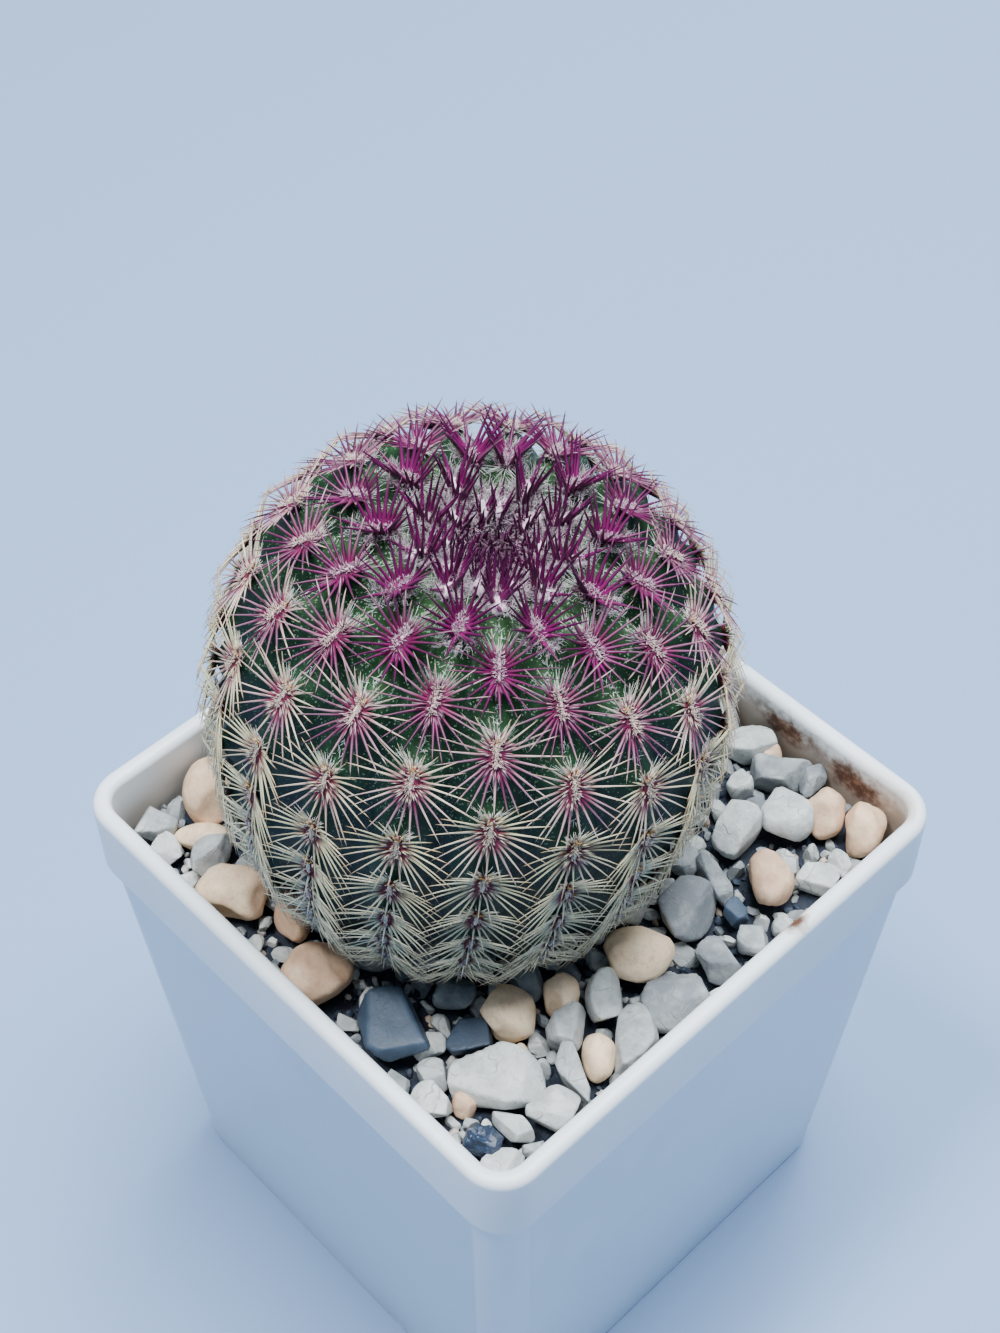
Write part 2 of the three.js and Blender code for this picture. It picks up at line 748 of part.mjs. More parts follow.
const finishes = {
  pot: new THREE.MeshStandardMaterial({ color: 0xf0f3f6, roughness: 0.35 }),
  soil: new THREE.MeshStandardMaterial({ color: 0x2b2019, roughness: 0.95 }),
  greyStone: new THREE.MeshStandardMaterial({ color: 0x9a9c99, roughness: 0.85 }),
  tanStone: new THREE.MeshStandardMaterial({ color: 0xcfa98a, roughness: 0.7 }),
  darkStone: new THREE.MeshStandardMaterial({ color: 0x3f4d5e, roughness: 0.6 }),
  crystal: new THREE.MeshStandardMaterial({ color: 0x2d3648, roughness: 0.2 }),
  cactus: new THREE.MeshStandardMaterial({ color: 0x33502f, roughness: 0.55 }),
};

function addPiece(parent, name, geometry, finish) {
  const piece = new THREE.Mesh(geometry, finish);
  piece.name = name;
  parent.add(piece);
}

const pottedCactus = new THREE.Group();
addPiece(pottedCactus, "pot", makePot(), finishes.pot);
addPiece(pottedCactus, "soil", makeSoil(), finishes.soil);
const stones = makeStones();
addPiece(pottedCactus, "gravel_grey", stones.gravel, finishes.greyStone);
const numbered = (name, i) => `${name}_${String(i + 1).padStart(2, "0")}`;
stones.tan.forEach((shape, i) => {
  addPiece(pottedCactus, numbered("pebble_tan", i), shape, finishes.tanStone);
});
stones.dark.forEach((shape, i) => {
  addPiece(pottedCactus, numbered("stone_dark", i), shape, finishes.darkStone);
});
stones.crystal.forEach((shape) => {
  addPiece(pottedCactus, "stone_crystal", shape, finishes.crystal);
});
addPiece(plant, "cactus", makeCactus(), finishes.cactus);
pottedCactus.add(plant);

export default pottedCactus;
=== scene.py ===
# %% [markdown]
# # A potted rainbow hedgehog cactus
#
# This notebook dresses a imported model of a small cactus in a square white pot. The frame holds the real
# sizes and places. Each step below replaces one plain solid with a finer one, or gives it a finish.
# Everything is in metres, with the pot's base in the middle of the floor.

# %% Load the frame
import math
import random

import bmesh
import bpy
import numpy as np
from mathutils import Matrix, Vector, noise


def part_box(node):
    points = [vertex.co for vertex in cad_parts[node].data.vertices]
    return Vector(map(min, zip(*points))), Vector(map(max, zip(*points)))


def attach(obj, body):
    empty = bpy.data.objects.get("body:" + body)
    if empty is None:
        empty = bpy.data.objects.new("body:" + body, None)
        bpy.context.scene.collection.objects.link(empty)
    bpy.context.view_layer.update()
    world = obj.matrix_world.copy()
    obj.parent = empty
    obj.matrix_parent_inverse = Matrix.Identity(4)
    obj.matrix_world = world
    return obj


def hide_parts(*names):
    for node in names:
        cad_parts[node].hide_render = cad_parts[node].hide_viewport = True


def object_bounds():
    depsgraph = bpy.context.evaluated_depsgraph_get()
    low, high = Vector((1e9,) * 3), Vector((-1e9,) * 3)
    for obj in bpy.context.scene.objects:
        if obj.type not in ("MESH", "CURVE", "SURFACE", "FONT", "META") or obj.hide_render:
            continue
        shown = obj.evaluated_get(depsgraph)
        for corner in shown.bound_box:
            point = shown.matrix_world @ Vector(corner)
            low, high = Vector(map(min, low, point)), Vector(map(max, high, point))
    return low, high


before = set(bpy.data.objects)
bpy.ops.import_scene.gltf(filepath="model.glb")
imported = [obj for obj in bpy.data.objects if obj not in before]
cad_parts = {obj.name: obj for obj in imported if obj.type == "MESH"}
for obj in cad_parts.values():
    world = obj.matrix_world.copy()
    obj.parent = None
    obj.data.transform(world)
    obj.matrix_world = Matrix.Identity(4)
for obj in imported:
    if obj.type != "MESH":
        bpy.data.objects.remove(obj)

cad_low, cad_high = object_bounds()
MM = 0.001
print("frame box in mm:", [round(c / MM, 1) for c in (*cad_low, *cad_high)])

# %% [markdown]
# ## The camera and the light
#
# The plant is seen from above one corner of its pot, at 50 degrees. The camera is made first, so that
# every later piece can be looked at in the right view. Three area lights make soft studio light: a broad
# one above as the sky, a smaller key light above the front left that casts the shadows, and a weak one
# from behind that draws the spines' edges. A pale blue world and floor fill the shade from below.

# %% The camera
camera_back = Vector((0.46566, -0.44304, 0.76609))
camera_right = Vector((0.69281, 0.72113, -0.00408))
camera_up = Vector((-0.55064, 0.53266, 0.64275))
camera_place = Vector((116.8, -112.5, 308.4)) * MM

bpy.ops.object.select_all(action="DESELECT")
bpy.ops.object.camera_add()
camera = bpy.context.object
camera.name = "view_from_above_the_corner"
turn = Matrix((camera_right, camera_up, camera_back)).transposed()
camera.matrix_world = Matrix.Translation(camera_place) @ turn.to_4x4()
camera.data.lens = 56.9
camera.data.sensor_width = 36
camera.data.clip_start = 0.01
bpy.context.scene.camera = camera
print("camera at", [round(c / MM) for c in camera_place], "mm")

# %% The floor and the lights
def area_light(name, place, size, power, colour):
    bpy.ops.object.light_add(type="AREA", location=place)
    light = bpy.context.object
    light.name = name
    light.rotation_euler = (-Vector(place)).to_track_quat("-Z", "Y").to_euler()
    light.data.size = size
    light.data.energy = power
    light.data.color = colour


area_light("sky_above", (0.03, 0.12, 1.0), 0.5, 22.0, (0.90, 0.96, 1.0))
area_light("key_front_left", (-0.12, -0.3, 1.0), 0.16, 9.0, (0.97, 0.99, 1.0))
area_light("rim_behind", (-0.3, 0.7, 0.45), 0.4, 3.0, (0.95, 0.98, 1.0))

world = bpy.data.worlds.new("pale_room")
world.use_nodes = True
world.node_tree.nodes["Background"].inputs["Color"].default_value = (0.38, 0.64, 1.0, 1)
world.node_tree.nodes["Background"].inputs["Strength"].default_value = 0.25
bpy.context.scene.world = world

bpy.ops.mesh.primitive_plane_add(size=40, location=(0, 0, cad_low.z))
floor = bpy.context.object
floor.name = "floor"
floor_paint = bpy.data.materials.new("pale floor")
floor_paint.use_nodes = True
floor_paint.node_tree.nodes["Principled BSDF"].inputs["Base Color"].default_value = (0.24, 0.36, 0.57, 1)
floor_paint.node_tree.nodes["Principled BSDF"].inputs["Roughness"].default_value = 0.8
floor.data.materials.append(floor_paint)

# %% [markdown]
# ## Small helpers
#
# An operator acts on whatever is selected, so each step starts from nothing selected. Faces and edges
# are picked in code by their place. A finished piece gets a material and rides on the frame's one body.

# %% Selecting and finishing
def start_fresh():
    if bpy.context.object and bpy.context.object.mode != "OBJECT":
        bpy.ops.object.mode_set(mode="OBJECT")
    bpy.ops.object.select_all(action="DESELECT")


def edit(piece):
    start_fresh()
    piece.select_set(True)
    bpy.context.view_layer.objects.active = piece
    bpy.ops.object.mode_set(mode="EDIT")


def pick(piece, kind, rule):
    """Selects in edit mode the faces or edges for which the rule holds, and nothing else."""
    bpy.ops.mesh.select_mode(type="FACE" if kind == "faces" else "EDGE")
    bpy.ops.mesh.select_all(action="DESELECT")
    mesh = bmesh.from_edit_mesh(piece.data)
    chosen = [item for item in getattr(mesh, kind) if rule(item)]
    for item in chosen:
        item.select_set(True)
    mesh.select_flush_mode()
    bmesh.update_edit_mesh(piece.data)
    return len(chosen)


def apply_modifiers(piece):
    start_fresh()
    piece.select_set(True)
    bpy.context.view_layer.objects.active = piece
    for modifier in list(piece.modifiers):
        bpy.ops.object.modifier_apply(modifier=modifier.name)


def apply_place(piece):
    start_fresh()
    piece.select_set(True)
    bpy.context.view_layer.objects.active = piece
    bpy.ops.object.transform_apply(location=True, rotation=True, scale=True)


def finish_piece(piece, name, material, slot, *nodes):
    piece.name = name
    piece.data.name = name
    piece.data.materials.clear()
    piece.data.materials.append(material)
    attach(piece, "root")
    if nodes:
        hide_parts(*nodes)
    print(name, len(piece.data.polygons), "faces")


# %% Reading and writing all points of a mesh at once
def read_points(mesh):
    points = np.empty(len(mesh.vertices) * 3)
    mesh.vertices.foreach_get("co", points)
    return points.reshape(-1, 3)


def write_points(mesh, points):
    mesh.vertices.foreach_set("co", points.ravel())
    mesh.update()


def write_values(mesh, name, values):
    attribute = mesh.attributes.new(name, "FLOAT", "POINT")
    attribute.data.foreach_set("value", np.asarray(values, dtype=np.float32))


def smoothstep(value, low, high):
    share = np.clip((np.asarray(value, float) - low) / (high - low), 0, 1)
    return share * share * (3 - 2 * share)


def mix(a, b, share):
    return a + (b - a) * share

# %% [markdown]
# ## Building materials
#
# Each finish is a node tree with a Principled BSDF. A small helper adds a node with its values, so that a
# tree reads from top to bottom. Noise, colour ramps, mixes, steps and bumps come up in nearly every
# finish, so each has a helper of its own.

# %% Node helpers
def new_material(name, **values):
    """A material with a bare Principled BSDF. Values that are the same all over go on its own sockets."""
    material = bpy.data.materials.new(name)
    material.use_nodes = True
    shader = material.node_tree.nodes["Principled BSDF"]
    for socket, value in values.items():
        shader.inputs[socket.replace("_", " ")].default_value = value
    return material, material.node_tree, shader


def add_node(tree, kind, inputs=None, **settings):
    node = tree.nodes.new(kind)
    for name, value in settings.items():
        setattr(node, name, value)
    for socket, value in (inputs or {}).items():
        if isinstance(value, bpy.types.NodeSocket):
            tree.links.new(value, node.inputs[socket])
        else:
            node.inputs[socket].default_value = value
    return node


def add_noise(tree, vector, size, detail=3.0, roughness=0.55, distortion=0.0):
    """Noise whose lumps are about the given size in metres."""
    inputs = {"Vector": vector, "Scale": 1 / size, "Detail": detail, "Roughness": roughness}
    inputs["Distortion"] = distortion
    return add_node(tree, "ShaderNodeTexNoise", inputs).outputs["Fac"]


def add_ramp(tree, value, stops):
    """A colour ramp. Each stop is a place from 0 to 1 and a grey value or a colour."""
    node = add_node(tree, "ShaderNodeValToRGB", {"Fac": value})
    elements = node.color_ramp.elements
    while len(elements) < len(stops):
        elements.new(0.5)
    for element, (place, colour) in zip(elements, stops):
        element.position = place
        element.color = (colour, colour, colour, 1) if isinstance(colour, (int, float)) else (*colour, 1)
    return node.outputs["Color"]


def add_mix(tree, share, a, b, blend="MIX"):
    node = tree.nodes.new("ShaderNodeMix")
    node.data_type = "RGBA"
    node.blend_type = blend
    for index, value in ((0, share), (6, a), (7, b)):
        if isinstance(value, bpy.types.NodeSocket):
            tree.links.new(value, node.inputs[index])
        elif index == 0:
            node.inputs[index].default_value = value
        else:
            node.inputs[index].default_value = (*value, 1)
    return node.outputs[2]


def add_maths(tree, operation, *values, clamp=False):
    node = tree.nodes.new("ShaderNodeMath")
    node.operation = operation
    node.use_clamp = clamp
    for socket, value in zip(node.inputs, values):
        if isinstance(value, bpy.types.NodeSocket):
            tree.links.new(value, socket)
        else:
            socket.default_value = value
    return node.outputs[0]


def add_step(tree, value, low, high):
    """0 below low, 1 above high and smooth between them. High may be the lower one."""
    node = tree.nodes.new("ShaderNodeMapRange")
    node.interpolation_type = "SMOOTHSTEP"
    tree.links.new(value, node.inputs["Value"])
    node.inputs["From Min"].default_value = min(low, high)
    node.inputs["From Max"].default_value = max(low, high)
    node.inputs["To Min"].default_value = 0 if low < high else 1
    node.inputs["To Max"].default_value = 1 if low < high else 0
    return node.outputs["Result"]


def add_bump(tree, shader, height, depth, strength=1.0):
    """Bump of a height that runs from 0 to 1, over the given depth in metres."""
    bump = add_node(tree, "ShaderNodeBump", {"Height": height, "Distance": depth, "Strength": strength})
    tree.links.new(bump.outputs["Normal"], shader.inputs["Normal"])
    return bump


def object_point(tree):
    return add_node(tree, "ShaderNodeTexCoord").outputs["Object"]


# %% [markdown]
# ## The pot
#
# The pot is one thin moulded shell: a tapering square cup with round corners, a wider collar round its top,
# and a rounded lip. By hand it grows out of a cube: the cube's top is widened, its upright edges are
# bevelled, and the top is then extruded out, up, in and down again, which gives the wall its thickness
# without a modifier. The holes in the base are cut with a Boolean.

# %% Sizes of the pot, worked out from the frame
pot_low, pot_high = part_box("pot")
rim_side = pot_high.x - pot_low.x
pot_height = pot_high.z
foot_side = rim_side - 9.4 * MM
collar_height = 13 * MM
collar_bottom = pot_height - collar_height
collar_step = 0.9 * MM
collar_slope = 1 * MM
inner_slope = 1.5 * MM
rim_wall = 2.5 * MM
wall = 1.8 * MM
pot_floor = 2.4 * MM
corner_radius = 5.6 * MM
foot_ring = 8 * MM
foot_recess = 1.2 * MM
drain_radius = 4 * MM
drain_reach = 22 * MM
shoulder_side = rim_side - 2 * collar_step


def pot_side_at(z):
    """The outer side of the tapering wall at a height."""
    return mix(foot_side, shoulder_side, z / collar_bottom)


# %% The pot's shell
def grow(rise, from_side, to_side):
    """Extrudes what is selected by a rise, and widens or narrows it from one side to another."""
    bpy.ops.mesh.extrude_region_move(TRANSFORM_OT_translate={"value": (0, 0, rise)})
    share = to_side / from_side
    bpy.ops.transform.resize(value=(share, share, 1))


def make_pot_shell():
    start_fresh()
    bpy.ops.mesh.primitive_cube_add(size=1, scale=(foot_side, foot_side, collar_bottom),
                                    location=(0, 0, collar_bottom / 2))
    pot = bpy.context.object
    apply_place(pot)
    edit(pot)
    tiny = 0.01 * MM
    pick(pot, "faces", lambda f: f.normal.z > 0.9)
    share = shoulder_side / foot_side
    bpy.ops.transform.resize(value=(share, share, 1))
    pick(pot, "edges", lambda e: abs(e.verts[0].co.z - e.verts[1].co.z) > collar_bottom / 2)
    bpy.ops.mesh.bevel(offset=corner_radius, segments=10, affect="EDGES")
    top = pick(pot, "faces", lambda f: f.normal.z > 0.9)
    grow(collar_slope, shoulder_side, rim_side)
    grow(collar_height - collar_slope, rim_side, rim_side)
    bpy.ops.mesh.inset(thickness=rim_wall, depth=0)
    bore = rim_side - 2 * rim_wall
    grow(inner_slope - collar_height, bore, bore)
    inner_shoulder = shoulder_side - 2 * wall
    grow(-inner_slope, bore, inner_shoulder)
    inner_foot = pot_side_at(pot_floor) - 2 * wall
    grow(pot_floor - collar_bottom, inner_shoulder, inner_foot)
    pick(pot, "faces", lambda f: f.normal.z < -0.9 and f.calc_center_median().z < tiny)
    bpy.ops.mesh.inset(thickness=foot_ring, depth=0)
    footprint = foot_side - 2 * foot_ring
    grow(foot_recess, footprint, footprint - 1 * MM)
    bpy.ops.object.mode_set(mode="OBJECT")
    return pot, top


pot, tops = make_pot_shell()
print("pot shell:", tops, "top face,", len(pot.data.vertices), "points")

# %% Round the lip, the collar and the foot
def soften_border(piece, radius, segments, rule):
    """Bevels the edges round the faces for which the rule holds."""
    pick(piece, "faces", rule)
    bpy.ops.mesh.region_to_loop()
    bpy.ops.mesh.bevel(offset=radius, segments=segments, affect="EDGES")


def lies_at(face, height, up):
    return abs(face.calc_center_median().z - height) < 0.1 * MM and face.normal.z * up > 0.9


edit(pot)
soften_border(pot, rim_wall * 0.46, 5, lambda f: lies_at(f, pot_height, 1))
soften_border(pot, 0.6 * MM, 3, lambda f: lies_at(f, 0, -1))
soften_border(pot, 1.2 * MM, 3, lambda f: lies_at(f, pot_floor, 1))
bpy.ops.object.mode_set(mode="OBJECT")
print("pot with its edges rounded:", len(pot.data.polygons), "faces")

# %% Cut the drain holes
drain_places = [(0, 0), *((x * drain_reach, y * drain_reach) for x in (-1, 1) for y in (-1, 1))]
for number, (x, y) in enumerate(drain_places):
    start_fresh()
    bpy.ops.mesh.primitive_cylinder_add(vertices=32, radius=drain_radius, depth=4 * pot_floor,
                                        location=(x, y, 0))
    drill = bpy.context.object
    cut = pot.modifiers.new(f"drain_{number}", "BOOLEAN")
    cut.object = drill
    cut.solver = "MANIFOLD"
    apply_modifiers(pot)
    bpy.data.objects.remove(drill)
print("pot after the holes:", len(pot.data.polygons), "faces")

# %% [markdown]
# ## The pot's plastic
#
# White plant pots are moulded in a satin plastic. Light goes a little way into it, so it gets a touch of
# subsurface scattering, and its gloss is broken by handling and water marks. Above the dressing the inside
# of the back wall is dusty, most of all in the corner, and has two dark soil marks. A small rust spot is on
# the rim. The dust follows the height and the wall. The marks are round masks with ragged edges.

# %% Satin plastic with soil stains
rust_place = Vector((38.3, 12.7, 87.8)) * MM


def depth_in_wall(tree, point):
    """How far a point lies inside the pot's tapering, round-cornered outer face."""
    apart = add_node(tree, "ShaderNodeSeparateXYZ", {"Vector": point})
    slope = (shoulder_side - foot_side) / 2 / collar_bottom
    start = foot_side / 2 - corner_radius
    half = add_maths(tree, "MULTIPLY_ADD", apart.outputs["Z"], slope, start)
    past = []
    for axis in "XY":
        beyond = add_maths(tree, "SUBTRACT", add_maths(tree, "ABSOLUTE", apart.outputs[axis]), half)
        past.append(add_maths(tree, "MAXIMUM", beyond, 0.0))
    square = add_maths(tree, "ADD", *(add_maths(tree, "MULTIPLY", side, side) for side in past))
    return add_maths(tree, "SUBTRACT", corner_radius, add_maths(tree, "SQRT", square))


soil_marks = [((15.5 * MM, 38 * MM, 84.0 * MM), (4.4 * MM, 4 * MM, 2.3 * MM)),
              ((27.6 * MM, 38 * MM, 83.4 * MM), (4.8 * MM, 4 * MM, 2.6 * MM))]


def add_blot(tree, point, place, size, ragged):
    """1 in a round blot at a place, 0 away from it, with an edge that a noise makes ragged."""
    apart = add_node(tree, "ShaderNodeVectorMath", {0: point, 1: place}, operation="SUBTRACT")
    scaled = add_node(tree, "ShaderNodeVectorMath", {0: apart.outputs["Vector"], 1: size}, operation="DIVIDE")
    reach = add_node(tree, "ShaderNodeVectorMath", {0: scaled.outputs["Vector"]}, operation="LENGTH")
    edge = add_maths(tree, "MULTIPLY_ADD", ragged, 2.0, reach.outputs["Value"])
    return add_step(tree, edge, 2.5, 1.3)


def make_pot_plastic():
    material, tree, shader = new_material(
        "satin white plastic", Specular_IOR_Level=0.5, Subsurface_Weight=0.08,
        Subsurface_Radius=(0.004, 0.004, 0.0045), Subsurface_Scale=0.5)
    point = object_point(tree)
    apart = add_node(tree, "ShaderNodeSeparateXYZ", {"Vector": point})
    y, z = apart.outputs["Y"], apart.outputs["Z"]

    cloudy = add_noise(tree, point, 30 * MM, detail=4)
    white = add_mix(tree, cloudy, (0.77, 0.83, 0.89), (0.83, 0.88, 0.93))

    # Painted shade: the inside of the pot below the lip is darkened to a warm grey.
    inside = add_step(tree, depth_in_wall(tree, point), 0.9 * MM, 1.4 * MM)
    low = add_step(tree, z, pot_height - 1.5 * MM, pot_height - 9 * MM)
    shade = add_maths(tree, "MULTIPLY", inside, low)
    shaded_inside = add_mix(tree, shade, white, (0.52, 0.48, 0.43))

    crumbs = add_noise(tree, point, 2.4 * MM, detail=5, roughness=0.7)
    back_wall = add_maths(tree, "MULTIPLY", inside, add_step(tree, y, 33 * MM, 36 * MM))
    corner = add_maths(tree, "MULTIPLY", back_wall, add_step(tree, apart.outputs["X"], 22 * MM, 36 * MM))
    dusty = add_mix(tree, add_maths(tree, "MULTIPLY", corner, 0.45), shaded_inside, (0.50, 0.38, 0.27))
    line = add_maths(tree, "MULTIPLY_ADD", crumbs, 9 * MM, z)
    soiled = add_maths(tree, "MULTIPLY", back_wall, add_step(tree, line, 92 * MM, 88 * MM))
    dirty = add_mix(tree, add_maths(tree, "MULTIPLY", soiled, 0.75), dusty, (0.30, 0.22, 0.165))
    marks = [add_blot(tree, point, place, size, crumbs) for place, size in soil_marks]
    stain = add_maths(tree, "MULTIPLY", back_wall, add_maths(tree, "MAXIMUM", *marks))
    brown = add_mix(tree, add_step(tree, crumbs, 0.40, 0.60), (0.08, 0.035, 0.02), (0.26, 0.14, 0.09))
    stained = add_mix(tree, stain, dirty, brown)

    halo = add_blot(tree, point, rust_place, (1.9 * MM, 2.3 * MM, 1.9 * MM), crumbs)
    haloed = add_mix(tree, add_maths(tree, "MULTIPLY", halo, 0.4), stained, (0.60, 0.40, 0.26))
    core = add_blot(tree, point, rust_place, (1.2 * MM, 1.5 * MM, 1.2 * MM), crumbs)
    coloured = add_mix(tree, core, haloed, (0.10, 0.045, 0.025))
    tree.links.new(coloured, shader.inputs["Base Color"])

    smears = add_noise(tree, point, 9 * MM, detail=6, roughness=0.65)
    gloss = add_ramp(tree, smears, [(0.3, 0.30), (0.7, 0.46)])
    rough = add_mix(tree, stain, gloss, (0.85, 0.85, 0.85))
    tree.links.new(rough, shader.inputs["Roughness"])
    skin = add_noise(tree, point, 0.7 * MM, detail=2)
    add_bump(tree, shader, skin, 0.03 * MM, 0.5)
    return material


start_fresh()
pot.select_set(True)
bpy.context.view_layer.objects.active = pot
bpy.ops.object.shade_smooth_by_angle(angle=math.radians(40))
finish_piece(pot, "pot_shell", make_pot_plastic(), "pot", "pot")

# %% [markdown]
# ## The soil and the grit
#
# Under the dressing the pot is full of dark soil, which is never seen, so its plain block only gets a
# crumbly dark finish. Between the chips one looks down on wet black grit; its near-black blue is partly
# painted shade deep in the gaps between the stones. It is a slab that is remeshed fine enough to be pushed
# up and down by noise. Like all of the dressing, it is higher on the far side.

# %% Dark soil for the hidden block
def make_soil_finish():
    material, tree, shader = new_material("dark crumbly soil", Roughness=0.95)
    point = object_point(tree)
    crumbs = add_noise(tree, point, 3 * MM, detail=8, roughness=0.7)
    colour = add_ramp(tree, crumbs, [(0.3, (0.012, 0.008, 0.006)), (0.7, (0.07, 0.045, 0.03))])
    tree.links.new(colour, shader.inputs["Base Color"])
    add_bump(tree, shader, crumbs, 1.2 * MM, 0.9)
    return material


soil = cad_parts["soil"]
soil.data.materials.clear()
soil.data.materials.append(make_soil_finish())

# %% The bed of grit between the chips
bed_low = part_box("gravel_grey")[0].z
bed_top = 76 * MM
grit_room = 0.6 * MM
seat_gap = 0.3 * MM
stone_sink = 0.8 * MM


def bed_rise(x, y):
    """The dressing lies higher on the far side of the pot than in its front corner."""
    return 2.6 * MM * smoothstep((y - x) / math.sqrt(2), -30 * MM, 0)


def make_grit_bed():
    start_fresh()
    side = pot_side_at(bed_low) - 2 * wall - 2 * seat_gap
    top = bed_top - grit_room
    bpy.ops.mesh.primitive_cube_add(size=1, scale=(side, side, top - bed_low),
                                    location=(0, 0, (top + bed_low) / 2))
    bed = bpy.context.object
    apply_place(bed)
    edit(bed)
    pick(bed, "edges", lambda e: abs(e.verts[0].co.z - e.verts[1].co.z) > 1 * MM)
    bpy.ops.mesh.bevel(offset=corner_radius - wall, segments=6, affect="EDGES")
    bpy.ops.object.mode_set(mode="OBJECT")
    fine = bed.modifiers.new("even_mesh", "REMESH")
    fine.mode = "VOXEL"
    fine.voxel_size = 0.75 * MM
    apply_modifiers(bed)
    points = read_points(bed.data)
    is_top = points[:, 2] > top - 0.5 * MM
    for index in np.flatnonzero(is_top):
        place = Vector(points[index])
        rough = noise.fractal(place / (2.4 * MM), 0.8, 2.0, 4)
        points[index, 2] += 0.55 * MM * rough + bed_rise(place.x, place.y)
    write_points(bed.data, points)
    bpy.ops.object.shade_smooth()
    return bed


# %% A finish of wet black grit
def make_grit_and_gap_shade_finish():
    material, tree, shader = new_material("wet black grit and painted gap shade")
    point = object_point(tree)
    crumbs = add_noise(tree, point, 1.6 * MM, detail=8, roughness=0.7)
    # Near-black blue: partly the grit's own colour, partly painted shade deep in the gaps between stones.
    colour = add_ramp(tree, crumbs, [(0.3, (0.005, 0.009, 0.018)), (0.55, (0.011, 0.019, 0.038)),
                                     (0.75, (0.07, 0.085, 0.11))])
    tree.links.new(colour, shader.inputs["Base Color"])
    tree.links.new(add_ramp(tree, crumbs, [(0.3, 0.35), (0.6, 0.85)]), shader.inputs["Roughness"])
    add_bump(tree, shader, crumbs, 0.6 * MM, 0.8)
    return material


finish_piece(make_grit_bed(), "grit_bed", make_grit_and_gap_shade_finish(), "grey_stone", "gravel_grey")

# %% [markdown]
# ## Broken chips and smooth pebbles
#
# A chip of crushed rock has flat faces that meet at blunt edges. One way is to sculpt it; the way used
# here is what a crusher does: a ball is cut by planes from all sides, the cut faces are filled and the
# edges are bevelled. After an even remesh, low waves push the points in and out, and a decimation keeps
# the faces few. A pebble is the same with shallow cuts and much smoothing. Every stone has its own seed,
# so no two are alike, and each run gives the same ones.

# %% One stone
def random_direction(rng):
    z = rng.uniform(-1, 1)
    angle = rng.uniform(0, 2 * math.pi)
    level = math.sqrt(1 - z * z)
    return Vector((level * math.cos(angle), level * math.sin(angle), z))


def add_waves(points, pace, count, rng):
    """Soft lumps between about -1 and 1: the mean of sine waves that run in random directions."""
    total = np.zeros(len(points))
    for _ in range(count):
        direction = np.array(random_direction(rng)) * pace * rng.uniform(0.6, 1.5)
        total += np.sin(points @ direction + rng.uniform(0, 2 * math.pi))
    return total / math.sqrt(count)


def make_stone(size, turn, cuts, cut_depth, top_cut, edge, wear, lumps, grain, faces, seed):
    """A stone with its length, width and height in mm, cut from a ball by planes and then worn.
    The first cut is the nearly level top. Edge is how far edges are rounded, lumps and grain how uneven
    and how rough the faces are, as shares of the stone's size. Wear is how often all is smoothed."""
    rng = random.Random(seed)
    start_fresh()
    bpy.ops.mesh.primitive_ico_sphere_add(subdivisions=3, radius=0.5)
    stone = bpy.context.object
    bpy.ops.object.mode_set(mode="EDIT")
    level = Vector((rng.uniform(-0.3, 0.3), rng.uniform(-0.3, 0.3), 1)).normalized()
    planes = [(level, top_cut)] + [(random_direction(rng), rng.uniform(*cut_depth)) for _ in range(cuts)]
    for direction, depth in planes:
        bpy.ops.mesh.select_all(action="SELECT")
        bpy.ops.mesh.bisect(plane_co=direction * 0.5 * (1 - depth), plane_no=direction,
                            use_fill=True, clear_outer=True)
    bpy.ops.object.mode_set(mode="OBJECT")
    bevel = stone.modifiers.new("worn_edges", "BEVEL")
    bevel.width = edge
    bevel.segments = 2
    bevel.limit_method = "ANGLE"
    bevel.angle_limit = math.radians(25)
    fine = stone.modifiers.new("even_mesh", "REMESH")
    fine.mode = "VOXEL"
    fine.voxel_size = 0.036
    soft = stone.modifiers.new("worn_smooth", "SMOOTH")
    soft.iterations = wear
    apply_modifiers(stone)
    points = read_points(stone.data)
    uneven = lumps * add_waves(points, 7, 6, rng) + grain * add_waves(points, 30, 12, rng)
    points += points / np.linalg.norm(points, axis=1, keepdims=True) * uneven[:, None]
    points -= (points.max(0) + points.min(0)) / 2
    points *= np.array(size) * MM / (points.max(0) - points.min(0))
    angle = math.radians(turn)
    cos, sin = math.cos(angle), math.sin(angle)
    spin = np.array([[cos, -sin, 0], [sin, cos, 0], [0, 0, 1]])
    write_points(stone.data, points @ spin.T)
    fewer = stone.modifiers.new("fewer_faces", "DECIMATE")
    fewer.ratio = faces / (2 * len(stone.data.polygons))
    apply_modifiers(stone)
    bpy.ops.object.shade_smooth()
    return stone


def lay_stone(stone, x, y):
    """Moves a stone's points so that it lies on the bed, sunk in a little."""
    points = read_points(stone.data)
    bottom = bed_top - stone_sink + bed_rise(x * MM, y * MM)
    points += np.array([x * MM, y * MM, bottom - points[:, 2].min()])
    write_points(stone.data, points)

# %% [markdown]
# ## Where the stones lie
#
# The stones of the two front sides are laid one by one, each as where it lies, its length, width and
# height, and the way its length points, in mm and degrees. Each kind's tones say how light a stone is, from
# 0 to 1, where that isn't left to its seed. The stones behind the stem are dropped by a seeded rule: a
# place is drawn, and the stone stays if it is inside the pot, clear of the neck, and not crowded.

